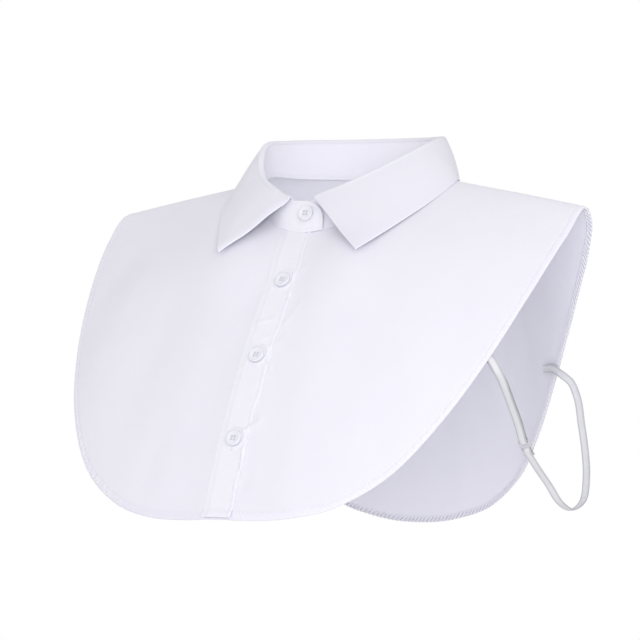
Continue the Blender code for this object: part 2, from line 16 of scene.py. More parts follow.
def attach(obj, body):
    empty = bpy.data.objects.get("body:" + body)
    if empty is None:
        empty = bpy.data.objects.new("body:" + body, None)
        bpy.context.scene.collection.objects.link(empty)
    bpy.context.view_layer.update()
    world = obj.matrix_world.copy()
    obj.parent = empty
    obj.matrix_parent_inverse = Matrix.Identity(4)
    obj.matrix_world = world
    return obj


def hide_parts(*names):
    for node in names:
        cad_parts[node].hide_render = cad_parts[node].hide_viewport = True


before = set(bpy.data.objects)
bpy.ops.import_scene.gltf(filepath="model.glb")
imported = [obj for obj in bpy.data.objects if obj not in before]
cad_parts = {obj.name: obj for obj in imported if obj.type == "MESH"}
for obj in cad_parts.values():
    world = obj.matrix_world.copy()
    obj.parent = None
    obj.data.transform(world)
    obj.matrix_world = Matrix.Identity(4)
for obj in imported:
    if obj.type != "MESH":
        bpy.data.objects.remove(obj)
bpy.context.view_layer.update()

METRE = 0.001

# The part's own sizes: the neck ring, the body's sections and the collar
NECK_SIDE = 66.0
NECK_DEPTH = 67.0
RIGHT_EASE = 0.06
RIGHT_LEAF_TURN = 7.4
RIGHT_LEAF_EASE = 57.4
RIGHT_LIFT = 2.0
RIGHT_SPREAD = 0.035
BODY_COLUMNS = (
    "turn",
    "neck_z",
    "neck_rise",
    "hem_x",
    "hem_y",
    "hem_z",
    "fullness",
    "neck_fullness",
    "right_drop",
)
BODY_SECTIONS = (
    (0, -22.3, 0.0, 0, -175.5, -217.0, 10.5, 0.5, 0.0),
    (9, -21.3, 0.0, 28, -177.0, -217.0, 10.5, 1.5, 0.5),
    (18, -18.8, 0.0, 57, -177.5, -214.7, 11.0, 4.5, 1.3),
    (28, -15.0, 0.0, 91, -172.0, -206.5, 12.0, 7.0, 0.5),
    (39, -9.5, 0.5, 126, -155.0, -183.0, 14.0, 5.5, 1.0),
    (48, -4.5, 1.0, 149, -134.0, -151.0, 15.0, 3.0, 0.5),
    (58, 2.0, 2.0, 168, -105.0, -110.0, 13.0, 0.8, 0.0),
    (68, 8.5, 3.5, 181, -73.0, -68.0, 8.0, 0.0, 0.0),
    (79, 14.5, 4.5, 190, -36.0, -27.0, 3.5, 0.0, 0.0),
    (90, 17.5, 5.0, 191.5, -6.0, -6.5, 0.8, 0.0, 0.0),
    (94, 17.8, 5.0, 191, 2.0, -17.0, 2.0, 0.0, 0.0),
    (99, 18.3, 4.3, 184, 10.0, -36.0, 6.0, 0.0, 0.0),
    (106, 19.2, 3.0, 166, 25.0, -72.0, 11.0, 0.0, 0.0),
    (116, 20.3, 1.5, 142, 44.0, -118.0, 18.0, 0.0, 0.0),
    (128, 21.2, 0.5, 114, 65.0, -166.0, 18.0, 0.0, 0.0),
    (140, 21.6, 0.0, 91, 79.0, -197.5, 16.0, 0.0, 0.0),
    (151, 21.6, 0.0, 66, 85.0, -217.5, 14.0, 0.0, 0.0),
    (164, 21.6, 0.0, 37, 87.0, -227.8, 13.0, 0.0, 0.0),
    (180, 21.6, 0.0, 0, 88.0, -232.0, 12.0, 0.0, 0.0),
)
NECK_RISE_POWER = 12
NECK_FULL_REACH = 0.19
SHOULDER_TURN = 90.0
LEAF_COLUMNS = ("fold_turn", "edge_x", "edge_y", "edge_z")
LEAF_SECTIONS = (
    (5.6, 57, -91, -34.0),
    (22, 70, -69, -20.5),
    (42, 82, -46, -5.6),
    (63, 89, -22, 8.8),
    (84, 88, -3, 17.0),
    (103, 80, 15, 17.6),
    (122, 66, 38, 14.5),
    (142, 48, 57, 12.5),
    (162, 26, 71, 11.0),
    (180, 0, 76, 10.5),
)
FOLD_COLUMNS = ("turn", "left_z", "right_z")
FOLD_HEIGHTS = (
    (0, 3.4, 3.4),
    (15, 8.0, 4.2),
    (30, 15.0, 11.2),
    (50, 25.5, 21.0),
    (65, 33.2, 35.0),
    (80, 39.9, 44.4),
    (100, 45.6, 47.2),
    (120, 48.0, 48.4),
    (150, 49.1, 49.1),
    (180, 49.4, 49.4),
)
FOLD_SIDE = 63.2
FOLD_FRONT = 60.6
FOLD_BACK = 62.2
ROLL_OUT = 0.9
ROLL_ACROSS = 2.5
ROLL_DEPTH = 2.05
LEAF_BULGE = 1.5
STAND_BELOW_FOLD = 2.75
STAND_INSIDE_NECK = 0.9
STAND_LIFT = -2.0
STAND_FRONT_LIFT = 0.5
STAND_FRONT_PROUD = 1.4
STAND_SEWN_PROUD = 0.75
STAND_FRONT_TURNS = (14.0, 32.0)
TAB_REACH = 14.5
END_CORNER = 19.0
UNDERLAP_TURN = 45.0
UNDERLAP_INSET = 2.1
PLACKET_LEFT = -12.0
PLACKET_RIGHT = 11.5
PLACKET_LIFT = 0.85
PLACKET_TOP_SHIFT = -5.5
PLACKET_TOP_REACH = 0.22

# Cloth
PANEL_WALL = 0.8
HEM_WALL = 1.7
HEM_WIDTH = 6.2
HEM_STITCH = 5.3
# In these hem tables, shade is painted shade: how much the colour darkens in the grooves of the stitch ticks
FRONT_HEM = {"width": HEM_WIDTH, "stitch": HEM_STITCH, "pucker": 0.2, "tick": 0.15, "notch": 0.3, "shade": 0.08}
BACK_HEM = {"width": 4.3, "stitch": 3.1, "pucker": 0.1, "tick": -1.1, "notch": 0.9, "shade": 0.75}
TICK_PITCH = 3.3
TICK_WIDTH = 0.26
SHOULDER_TIP_CUT = 5.0
SHOULDER_TIP_TURNS = 3.8
COLLAR_WALL = 1.4
COLLAR_EDGE_WALL = 1.5
STAND_WALL = 1.6
PLACKET_WALL = 0.95
EDGE_ROUND = 0.8
FRONT_ROWS = 81
BACK_ROWS = 30
HEM_ROWS = (0, 0.2, 0.45, 0.8, 1.3, 1.9, 2.5, 3.1, 3.7, 4.3, 4.8, 5.3, 5.8, 6.2, 6.5, 6.8, 7.3, 8.2, 9.5, 11.2)
FRONT_COLUMN_PITCH = 0.8
BACK_COLUMN_PITCH = 0.72


def with_slopes(stations, values):
    return stations, values, np.gradient(values, stations, axis=0)


def curve(line, at):
    """Values at many stations of a smooth curve."""
    stations, values, slopes = line
    at = np.asarray(at, float)
    k = np.clip(np.searchsorted(stations, at) - 1, 0, len(stations) - 2)
    step = stations[k + 1] - stations[k]
    s = (at - stations[k]) / step
    if values.ndim > 1:
        step = step[..., None]
        s = s[..., None]
    return (
        values[k] * (1 + 2 * s) * (1 - s) ** 2
        + values[k + 1] * s * s * (3 - 2 * s)
        + step * (slopes[k] * s * (1 - s) ** 2 - slopes[k + 1] * s * s * (1 - s))
    )


def table_column(rows, names, name, odd=False):
    """A table's turns and one of its columns, mirrored about the centre front and the centre back."""
    turns = np.array([row[0] for row in rows], float)
    values = np.array([row[names.index(name)] for row in rows], float)
    side = -1.0 if odd else 1.0
    long_turns = np.concatenate([-turns[:0:-1], turns, 360.0 - turns[-2::-1]])
    return with_slopes(long_turns, np.concatenate([side * values[:0:-1], values, side * values[-2::-1]]))


BODY_CURVES = {
    name: table_column(BODY_SECTIONS, BODY_COLUMNS, name, odd=name == "hem_x") for name in BODY_COLUMNS[1:]
}
FOLD_CURVES = {name: table_column(FOLD_HEIGHTS, FOLD_COLUMNS, name) for name in FOLD_COLUMNS[1:]}


def body_value(name, turn):
    return curve(BODY_CURVES[name], np.abs(turn))


def stack(x, y, z):
    return np.stack(np.broadcast_arrays(x, y, z), axis=-1)


def unit(v):
    return v / np.linalg.norm(v, axis=-1, keepdims=True)


def smooth(low, high, value):
    t = np.clip((value - low) / (high - low), 0, 1)
    return t * t * (3 - 2 * t)


def hump(value, width):
    return np.exp(-((value / width) ** 2))


def ring_point(turn, side, depth, height):
    """A place on an oval round the neck; a turn below zero is on the wearer's right."""
    a = np.radians(turn)
    ease = 1 + np.where(np.asarray(turn) < 0, RIGHT_EASE * np.sin(a) ** 2, 0.0)
    return stack(side * ease * np.sin(a), -depth * ease * np.cos(a), height)


def ring_outward(turn):
    a = np.radians(turn)
    return stack(np.sin(a), -np.cos(a), 0.0)


def neck_point(turn):
    height = body_value("neck_z", turn) + body_value("neck_rise", turn)
    return ring_point(turn, NECK_SIDE, NECK_DEPTH, height)


def hem_point(turn):
    turn = np.asarray(turn, float)
    drop = np.where(turn < 0, body_value("right_drop", turn), 0.0)
    across = body_value("hem_x", turn) * np.where(turn < 0, -1, 1)
    return stack(across, body_value("hem_y", turn), body_value("hem_z", turn) - drop)


def body_point(turn, reach):
    """The outer face, a share reach of the way from the neck seam to the hem on the section at turn."""
    neck, hem = neck_point(turn), hem_point(turn)
    rise = body_value("neck_rise", turn)
    neck[..., 2] -= rise
    chord = hem - neck
    flat = np.hypot(chord[..., 0], chord[..., 1])
    off = unit(stack(-chord[..., 0] * chord[..., 2] / flat, -chord[..., 1] * chord[..., 2] / flat, flat))
    near_neck = (reach / NECK_FULL_REACH * np.exp(1 - reach / NECK_FULL_REACH)) ** 2
    full = body_value("fullness", turn) * 4 * reach * (1 - reach) + body_value("neck_fullness", turn) * near_neck
    place = neck + chord * np.asarray(reach)[..., None] + off * full[..., None]
    place[..., 2] += rise * (1 - reach) ** NECK_RISE_POWER
    return place


def body_normal(turn, reach):
    round_it = body_point(turn + 0.5, reach) - body_point(turn - 0.5, reach)
    down = body_point(turn, reach + 0.002) - body_point(turn, reach - 0.002)
    return unit(np.cross(down, round_it))


def section_length(turn):
    return np.linalg.norm(hem_point(turn) - neck_point(turn), axis=-1)


def turn_at(x, reach):
    """The turn whose section is x from the centre front at that reach."""
    x, reach = np.broadcast_arrays(np.asarray(x, float), np.asarray(reach, float))
    side = np.where(x < 0, -1.0, 1.0)
    low, high = np.zeros(x.shape), np.full(x.shape, 60.0)
    for _ in range(30):
        middle = (low + high) / 2
        short = np.abs(body_point(middle * side, reach)[..., 0]) < np.abs(x)
        low = np.where(short, middle, low)
        high = np.where(short, high, middle)
    return low * side


def section_reaches(turn, rows):
    """Reaches from the neck to the hem's edge, with close rows over the hem; one line for each turn."""
    length = section_length(np.asarray(turn, float))[..., None]
    hem = 1 - np.array(HEM_ROWS[::-1]) / length
    body = hem[..., :1] * np.arange(rows) / rows
    return np.concatenate([body, hem], axis=-1)


def even_turns(start, end, pitch):
    """Turns from start to end at even steps along the hem."""
    fine = np.linspace(start, end, 600)
    near = np.where(fine > 180, fine - 360, fine)
    points = hem_point(near)
    along = np.concatenate([[0], np.cumsum(np.linalg.norm(np.diff(points, axis=0), axis=1))])
    steps = int(round(along[-1] / pitch))
    even = np.linspace(0, along[-1], steps + 1)
    return np.interp(even, along, fine), even


# Shader building
class Value:
    """A socket of a material, with the arithmetic that its masks use."""

    def __init__(self, maker, socket):
        self.maker = maker
        self.socket = socket

    def math(self, operation, *others, clamp=False):
        operands = [self.socket, *[other.socket if isinstance(other, Value) else other for other in others]]
        return self.maker.math(operation, *operands, clamp=clamp)

    def __add__(self, other):
        return self.math("ADD", other)

    __radd__ = __add__

    def __mul__(self, other):
        return self.math("MULTIPLY", other)

    __rmul__ = __mul__

    def __sub__(self, other):
        return self.math("SUBTRACT", other)

    def __rsub__(self, other):
        return self.maker.math("SUBTRACT", other, self.socket)

    def __pow__(self, other):
        return self.math("POWER", other)

    def absolute(self):
        return self.math("ABSOLUTE")

    def sine(self):
        return self.math("SINE")


class Finish:
    """A procedural material under construction."""

    def __init__(self, name, roughness):
        self.material = bpy.data.materials.new(name)
        self.material.use_nodes = True
        self.tree = self.material.node_tree
        self.shader = self.tree.nodes["Principled BSDF"]
        self.shader.inputs["Roughness"].default_value = roughness
        self.shader.inputs["Metallic"].default_value = 0.0

    def node(self, kind, settings=None, **sockets):
        made = self.tree.nodes.new(kind)
        for key, value in (settings or {}).items():
            setattr(made, key, value)
        for key, value in sockets.items():
            self.feed(made.inputs[key.replace("_", " ")], value)
        return made

    def feed(self, socket, value):
        if isinstance(value, Value):
            value = value.socket
        if isinstance(value, bpy.types.NodeSocket):
            self.tree.links.new(value, socket)
        else:
            socket.default_value = value

    def math(self, operation, *operands, clamp=False):
        made = self.tree.nodes.new("ShaderNodeMath")
        made.operation = operation
        made.use_clamp = clamp
        for socket, operand in zip(made.inputs, operands):
            self.feed(socket, operand)
        return Value(self, made.outputs[0])

    def place(self, output):
        return self.node("ShaderNodeTexCoord").outputs[output]

    def split(self, vector):
        parts = self.node("ShaderNodeSeparateXYZ", Vector=vector).outputs
        return [Value(self, part) for part in parts]

    def noise(self, vector, scale, detail=3.0, roughness=0.5):
        made = self.node("ShaderNodeTexNoise", Vector=vector, Scale=scale, Detail=detail, Roughness=roughness)
        return Value(self, made.outputs["Fac"])

    def mix(self, factor, first, second):
        made = self.tree.nodes.new("ShaderNodeMix")
        made.data_type = "RGBA"
        self.feed(made.inputs["Factor"], factor)
        self.feed(made.inputs[6], first)
        self.feed(made.inputs[7], second)
        return made.outputs[2]

    def blend(self, factor, first, second):
        return self.mix(factor, (*first, 1.0), (*second, 1.0))

    def colour(self, value):
        self.feed(self.shader.inputs["Base Color"], value)

    def bump(self, height, distance, strength=1.0):
        made = self.node("ShaderNodeBump", Height=height, Distance=distance, Strength=strength)
        self.tree.links.new(made.outputs[0], self.shader.inputs["Normal"])

    def fixed(self, **values):
        for key, value in values.items():
            self.shader.inputs[key.replace("_", " ")].default_value = value


COTTON_LIGHT = (0.86, 0.85, 0.93)
COTTON_SHADE = (0.82, 0.81, 0.895)
# How much whiter cloth in several layers is: partly its real layers, partly painted light
LAYERS_AND_PAINTED_LIGHT = (1.035, 1.035, 1.045)
# How dark the painted shade in the grooves of the hem's stitch ticks is
PAINTED_TICK_SHADE = 0.74
LIGHT_THROUGH = 0.3
YARN_PITCH = 0.00032


def tinted(colour, times):
    return tuple(np.multiply(colour, times).tolist())


def cotton(name, crumple, painted_tone=1.0, hem=None, has_painted_tick_shade=False, yarn_pitch=YARN_PITCH):
    """Fine plain-woven cotton: over-and-under yarns on the cloth's own UV and a soft crumple. Where the cloth
    lies in several layers it gets a whiter tone, partly the real layers and partly painted light. A tone factor
    paints light or shade into copies of this one cloth, and the grooves of the hem's stitch ticks get painted
    shade."""
    made = Finish(name, 0.82)
    across, along, _ = made.split(made.place("UV"))
    warp = (across * (2 * math.pi / yarn_pitch)).sine()
    weft = (along * (2 * math.pi / yarn_pitch)).sine()
    weave = warp * weft * 0.5 + 0.5
    place = made.place("Object")
    slub = made.noise(place, 900.0, 2.0)
    mottle = made.noise(place, 38.0, 4.0, 0.6)
    soft = made.noise(place, 16.0, 2.0, 0.45)
    grain = mottle * 0.6 + slub * 0.25 + weave * 0.15
    single = made.blend(grain, tinted(COTTON_SHADE, painted_tone), tinted(COTTON_LIGHT, painted_tone))
    # The hem's several layers get a whiter tone: partly the real layered cloth, partly painted light
    if hem is not None:
        several = tinted(COTTON_SHADE, LAYERS_AND_PAINTED_LIGHT), tinted(COTTON_LIGHT, LAYERS_AND_PAINTED_LIGHT)
        layered_and_painted_light = ((hem - 0.0003 - along) * 1600.0).math("MINIMUM", 1.0).math("MAXIMUM", 0.0)
        single = made.mix(layered_and_painted_light, single, made.blend(grain, *several))
    # Painted shade: the grooves of the hem's stitch ticks are darkened in colour
    if has_painted_tick_shade:
        drawn = made.node("ShaderNodeAttribute", {"attribute_name": "drawn"}).outputs["Fac"]
        single = made.mix(drawn, single, (*tinted(COTTON_SHADE, PAINTED_TICK_SHADE), 1.0))
    made.colour(single)
    made.bump(weave * 0.00004 + slub * 0.00003 + mottle * crumple + soft * crumple * 2, 1.0)
    made.fixed(Sheen_Weight=0.12, Sheen_Roughness=0.6, Specular_IOR_Level=0.25)
    made.fixed(Subsurface_Weight=LIGHT_THROUGH, Subsurface_Scale=0.001, Subsurface_Radius=(1.2, 1.2, 1.25))
    return made.material


def thread():
    """Twisted sewing thread with a slight gloss."""
    made = Finish("sewing thread", 0.6)
    place = made.place("Object")
    made.colour(made.blend(made.noise(place, 700.0, 2.0), (0.80, 0.79, 0.87), (0.88, 0.87, 0.94)))
    made.bump(made.noise(place, 3000.0, 1.0) * 0.00004, 1.0)
    made.fixed(Specular_IOR_Level=0.3)
    return made.material


def satin_tape():
    """Narrow woven elastic: fine ribs across its width, a satin sheen, and painted shade along its selvedges that
    stands in for the sheen's fall-off.
    """
    made = Finish("satin elastic", 0.3)
    across, along, _ = made.split(made.place("UV"))
    ribs = (along * (2 * math.pi / 0.00075)).sine() * 0.5 + 0.5
    cords = (across * (2 * math.pi / 0.00062)).sine() * 0.5 + 0.5
    mottle = made.noise(made.place("Object"), 120.0, 3.0)
    woven = made.blend(ribs * 0.5 + mottle * 0.5, (0.68, 0.68, 0.715), (0.84, 0.84, 0.875))
    # Painted shade: the selvedges are darkened in colour, in place of the satin sheen falling off across the tape
    painted_selvedge_shade = ((across.absolute() - 0.0013) * 900.0).math("MAXIMUM", 0.0).math("MINIMUM", 1.0)
    made.colour(made.mix(painted_selvedge_shade, woven, (0.52, 0.52, 0.55, 1.0)))
    made.bump(ribs * 0.00008 + cords * 0.00005, 1.0)
    made.fixed(Specular_IOR_Level=0.5, Sheen_Weight=0.2)
    return made.material


def button_plastic():
    """Pearly white button plastic with faint bands."""
    made = Finish("pearly button plastic", 0.3)
    place = made.place("Object")
    bands = made.noise(place, 260.0, 3.0, 0.6)
    made.colour(made.blend(bands, (0.76, 0.76, 0.83), (0.85, 0.845, 0.91)))
    made.bump(bands * 0.00003, 1.0)
    made.fixed(Coat_Weight=0.2, Coat_Roughness=0.25, Specular_IOR_Level=0.4)
    return made.material


def slider_plastic():
    """Milky clear moulded plastic."""
    made = Finish("milky slider plastic", 0.24)
    place = made.place("Object")
    made.colour(made.blend(made.noise(place, 300.0, 2.0), (0.74, 0.74, 0.78), (0.82, 0.82, 0.86)))
    made.fixed(Transmission_Weight=0.25, IOR=1.49, Specular_IOR_Level=0.5)
    return made.material


# Meshes
def finish_mesh(name, mesh, finish, sharp=45):
    bm = bmesh.new()
    bm.from_mesh(mesh)
    if bm.calc_volume(signed=True) < 0:
        mesh.flip_normals()
    bm.free()
    mesh.materials.append(finish)
    mesh.shade_smooth()
    mesh.set_sharp_from_angle(angle=math.radians(sharp))
    made = bpy.data.objects.new(name, mesh)
    bpy.context.scene.collection.objects.link(made)
    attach(made, "root")
    return made


def shell(name, outer, inner, across, along, finish, drawn=None):
    """A closed wall of cloth between two grids of points, with a UV in metres of cloth and, if given, an
    attribute that carries the painted shade of the hem's stitch ticks.
    """
    columns, rows = outer.shape[:2]
    bm = bmesh.new()
    bmesh.ops.create_grid(bm, x_segments=rows - 1, y_segments=columns - 1, size=1)
    code = bm.verts.layers.int.new("code")
    for k, vertex in enumerate(bm.verts):
        vertex[code] = k + 1
    made = bmesh.ops.extrude_face_region(bm, geom=bm.faces[:], use_keep_orig=True)
    for vertex in made["geom"]:
        if isinstance(vertex, bmesh.types.BMVert):
            vertex[code] = -vertex[code]
    mesh = bpy.data.meshes.new(name)
    bm.to_mesh(mesh)
    bm.free()
    codes = np.empty(len(mesh.vertices), np.int32)
    mesh.attributes["code"].data.foreach_get("value", codes)
    which = np.abs(codes) - 1
    points = np.where((codes > 0)[:, None], outer.reshape(-1, 3)[which], inner.reshape(-1, 3)[which])
    mesh.vertices.foreach_set("co", (points * METRE).ravel())
    corners = np.empty(len(mesh.loops), np.int32)
    mesh.loops.foreach_get("vertex_index", corners)
    flat = np.stack([np.broadcast_to(across, (columns, rows)), np.broadcast_to(along, (columns, rows))], axis=-1)
    places = flat.reshape(-1, 2)[which] * METRE
    mesh.uv_layers.new(name="cloth").data.foreach_set("uv", places[corners].ravel())
    mesh.attributes.remove(mesh.attributes["code"])
    if drawn is not None:
        mesh.attributes.new("drawn", "FLOAT", "POINT").data.foreach_set("value", drawn.ravel()[which])
    mesh.update()
    return finish_mesh(name, mesh, finish)


def rounded(wall, *edges):
    """How thick a wall is, given its distance from each of its rounded edges."""
    near = np.minimum.reduce(np.broadcast_arrays(*edges))
    s = np.clip(near / EDGE_ROUND, 0, 1)
    return wall * np.maximum(0.12, np.sqrt(1 - (1 - s) ** 2))


def lay(points, normals, relief, wall, full_wall):
    """Outer and inner grids of a wall whose rounded edges are centred in its thickness."""
    top = relief - (full_wall - wall) / 2
    outer = points + normals * top[..., None]
    return outer, outer - normals * wall[..., None]


def path_frames(points, pitch):
    """Even places along a line of points and the way it runs there."""
    steps = np.linalg.norm(np.diff(points, axis=0), axis=1)
    along = np.concatenate([[0], np.cumsum(steps)])
    count = max(1, int(along[-1] // pitch))
    at = (np.arange(count) + 0.5) * along[-1] / count
    places = np.stack([np.interp(at, along, points[:, k]) for k in range(3)], axis=1)
    later = np.stack([np.interp(at + 0.3, along, points[:, k]) for k in range(3)], axis=1)
    return places, unit(later - places + 1e-9), at, along


STITCH_LENGTH = 2.0
STITCH_PITCH = 2.7
THREAD_WIDTH = 0.42
THREAD_HEIGHT = 0.3


class Stitches:
    """Short lengths of thread, gathered into one joined mesh."""

    def __init__(self):
        self.rows = []

    def run(self, points, normals, length=STITCH_LENGTH, pitch=STITCH_PITCH, width=THREAD_WIDTH, sink=0.05):
        """A row of stitches along points on a face with those normals."""
        places, ways, at, along = path_frames(points, pitch)
        ups = unit(np.stack([np.interp(at, along, normals[:, k]) for k in range(3)], axis=1))
        for place, way, up in zip(places, ways, ups):
            self.one(place - up * sink, way, up, length, width, THREAD_HEIGHT)

    def one(self, place, way, up, length, width, height):
        side = np.cross(up, way)
        frame_rows = np.array([way * length / 2, side * width / 2, np.cross(way, side) * height / 2])
        self.rows.append((np.asarray(place), frame_rows))

    def done(self, name, finish):
        """One low capsule, copied until there is one for each stitch, each then turned to its place."""
        bm = bmesh.new()
        turned = Matrix.Rotation(math.pi / 2, 4, "Y")
        bmesh.ops.create_uvsphere(bm, u_segments=6, v_segments=4, radius=1, matrix=turned)
        copy = bm.verts.layers.int.new("copy")
        count = 1
        while count < len(self.rows):
            made = bmesh.ops.duplicate(bm, geom=bm.verts[:] + bm.edges[:] + bm.faces[:])
            for vertex in made["geom"]:
                if isinstance(vertex, bmesh.types.BMVert):
                    vertex[copy] += count
            count *= 2
        spare = [vertex for vertex in bm.verts if vertex[copy] >= len(self.rows)]
        bmesh.ops.delete(bm, geom=spare, context="VERTS")
        mesh = bpy.data.meshes.new(name)
        bm.to_mesh(mesh)
        bm.free()
        local = np.empty(len(mesh.vertices) * 3)
        mesh.vertices.foreach_get("co", local)
        which = np.empty(len(mesh.vertices), np.int32)
        mesh.attributes["copy"].data.foreach_get("value", which)
        places = np.array([place for place, _ in self.rows])[which]
        turns = np.array([rows for _, rows in self.rows])[which]
        points = places + (local.reshape(-1, 3)[:, :, None] * turns).sum(axis=1)
        mesh.vertices.foreach_set("co", (points * METRE).ravel())
        mesh.attributes.remove(mesh.attributes["copy"])
        mesh.update()
        return finish_mesh(name, mesh, finish, sharp=80)


# Creases
# Soft folds of the front in the front view, in millimetres: a line from (x0, z0) to (x1, z1), how high it
# stands (below zero it is a trough) and how wide it is.
CREASE_COLUMNS = ("x0", "z0", "x1", "z1", "height", "width")
BUTTON_CREASES = (
    (7, 5, 19, 13, 0.5, 1.5),
    (8, -6, 12, -16, 0.4, 1.3),
    (-7, -5, -13, -12, 0.25, 1.8),
    (-6, 5, -13, 8, -0.2, 2.0),
)
FALL_AWAY = 4.2
FALL_AWAY_REACH = 32.0
FRONT_CREASES = (
    (14, -85, 25, -68, 0.5, 1.2),
    (10, -89, 21, -80, 0.35, 1.2),
    (-9, -86, 7, -82, 0.6, 1.6),
    (-2, -97, 8, -94, 0.4, 1.4),
    (9, -108, 16, -119, 0.45, 1.3),
    (5, -160, 20, -149, 0.8, 1.6),
    (9, -165, 12, -186, 0.5, 1.3),
    (13, -196, 22, -186, -0.6, 3.0),
    (30, -192, 70, -212, 0.5, 6.0),
    (90, -60, 128, -150, 0.8, 13.0),
    (60, -70, 84, -140, -0.8, 14.0),
    (128, -40, 152, -110, -0.8, 10.0),
    (45, -120, 52, -205, 0.6, 10.0),
    (100, -150, 122, -185, -0.6, 7.0),
    (-20, -92, -44, -80, 0.3, 4.0),
    (-40, -80, -58, -170, 0.6, 13.0),
    (-80, -70, -104, -170, -0.7, 14.0),
    (-124, -40, -146, -120, 0.7, 11.0),
    (-60, -150, -70, -212, -0.6, 9.0),
    (-150, -30, -168, -80, -0.6, 8.0),
)
BACK_CREASES = (
    (-60, -40, -72, -190, 0.9, 12.0),
    (-22, -30, -30, -215, -0.8, 12.0),
    (18, -40, 26, -214, 0.9, 13.0),
    (58, -30, 78, -180, -0.9, 11.0),
    (96, -40, 110, -140, 0.9, 9.0),
    (-100, -40, -116, -130, -0.8, 9.0),
    (40, -150, 52, -212, 0.6, 6.0),
    (-44, -160, -50, -208, 0.6, 6.0),
)


def creases(table, x, z):
    """How far soft folds lift the cloth at x and z in the front view."""
    total = np.zeros(np.broadcast(x, z).shape)
    for x0, z0, x1, z1, height, width in table:
        length = math.hypot(x1 - x0, z1 - z0)
        along = ((x - x0) * (x1 - x0) + (z - z0) * (z1 - z0)) / length**2
        off = ((x - x0) * (z1 - z0) - (z - z0) * (x1 - x0)) / length
        ends = smooth(-0.15, 0.25, along) * (1 - smooth(0.7, 1.15, along))
        total += height * hump(off, width) * ends
    return total


def front_relief(x, z):
    """The front's soft folds, short drag lines round each button, and the right front's fall beside the
    placket."""
    total = creases(FRONT_CREASES, x, z)
    for k, button_z in enumerate(PLACKET_BUTTON_Z):
        strength = (0.7, 1.0, 1.0)[k]
        total += strength * creases(BUTTON_CREASES, x - BUTTON_X, z - button_z)
    beside = np.clip(PLACKET_LEFT - x, 0, None)
    faded = (1 - smooth(70, 150, beside)) * (1 - smooth(-80, -42, z))
    return total - FALL_AWAY * (1 - np.exp(-beside / FALL_AWAY_REACH)) * faded


PUCKER_PITCH = 3.3
LIP_RADIUS = 6.9
LIP_HEIGHT = 0.95


def button_lips(points):
    """The buttonhole's edges, pushed up round each button into a drop that points up and across."""
    total = np.zeros(points.shape[:-1])
    for z in PLACKET_BUTTON_Z:
        x_off = points[..., 0] - BUTTON_X - 0.8
        z_off = (points[..., 2] - z) * 1.15
        turn = np.arctan2(z_off, x_off)
        radius = LIP_RADIUS * (1 + 0.22 * np.exp(-(((turn - 0.9) / 0.45) ** 2)))
        from_lip = np.hypot(x_off, z_off) - radius
        total += LIP_HEIGHT * hump(from_lip, 0.75)
    return total


def pucker(along, distance, seed):
    """Small slanted ripples that a row of stitches draws up, uneven along it."""
    wander = 1.3 * np.sin(along / 17.0 + seed) + 0.8 * np.sin(along / 6.1 + 2 * seed)
    ripple = np.sin((along + distance * 0.55 + wander) * 2 * math.pi / PUCKER_PITCH)
    ripple += 0.6 * np.sin((along - distance * 0.3 + wander) * 2 * math.pi / (2.3 * PUCKER_PITCH) + seed)
    strength = 0.6 + 0.28 * np.sin(along / 23.0 + seed * 3) + 0.2 * np.sin(along / 8.7 + seed)
    return ripple * strength


def tick_phase(along, distance, seed):
    """How far a place is from the nearest stitch that draws the hem in, in shares of their pitch."""
    wander = 0.5 * np.sin(along / 11.0 + seed) + 0.35 * np.sin(along / 4.3 + 2 * seed)
    phase = (along + 0.9 * distance + wander) / TICK_PITCH
    return phase - np.round(phase)


def drawn_in(along, distance, seed):
    """The notches that those stitches leave in the hem's edge."""
    depth = 0.6 + 0.3 * np.sin(along / 19.0 + seed) + 0.2 * np.sin(along / 7.1 + 3 * seed)
    return depth * hump(tick_phase(along, 0, seed), 0.24) * (1 - smooth(0, 4, distance))


def hem_relief(along, distance, seed, hem):
    """The outer face over a turned and stitched hem."""
    groove = -0.25 * hump(distance - hem["stitch"], 0.8)
    puff = 0.2 * hump(distance - hem["stitch"] / 2, 1.8)
    inside = 1 - smooth(hem["stitch"] - 0.5, hem["stitch"] + 4.5, distance)
    ticks = hump(tick_phase(along, distance, seed), TICK_WIDTH) * (1 - smooth(hem["stitch"], hem["stitch"] + 1.2, distance))
    return groove + puff + hem["pucker"] * pucker(along, distance, seed) * inside - hem["tick"] * ticks


def hem_wall(distance, hem):
    return PANEL_WALL + (HEM_WALL - PANEL_WALL) * (1 - smooth(hem["width"] - 0.25, hem["width"] + 0.25, distance))


def panel(name, turns, reaches, along_hem, relief, seed, finish, side, hem):
    """A panel of the body from its grid of turns and reaches; returns the piece and its hem's lines."""
    length = section_length(turns)
    distance = (1 - reaches) * length
    along = np.broadcast_to(along_hem[:, None], distance.shape)
    tip = SHOULDER_TIP_CUT * hump(turns + SHOULDER_TURN, SHOULDER_TIP_TURNS) * (1 - smooth(0, 24, distance))
    taken = hem["notch"] * drawn_in(along, distance, seed) + tip
    points = body_point(turns, reaches - taken / length)
    normals = body_normal(turns, reaches)
    full = hem_wall(distance, hem)
    wall = rounded(full, distance, side, reaches * length + 0.3)
    flat_by_placket = 0.2 + 0.8 * smooth(40, 90, np.abs(points[..., 0])) if hem is FRONT_HEM else 1.0
    height = relief(points) + hem_relief(along, distance, seed, hem) * flat_by_placket
    outer, inner = lay(points, normals, height, wall, full)
    # Painted shade: how much the colour darkens in the grooves of the stitch ticks
    drawn = hump(tick_phase(along, distance, seed), TICK_WIDTH) * hem["shade"]
    drawn = drawn * (1 - smooth(hem["stitch"], hem["stitch"] + 0.8, distance))
    piece = shell(name, outer, inner, points[..., 0], distance, finish, drawn)
    row = -HEM_ROWS.index(hem["stitch"]) - 1
    return piece, (outer[:, row], inner[:, row], normals[:, row])


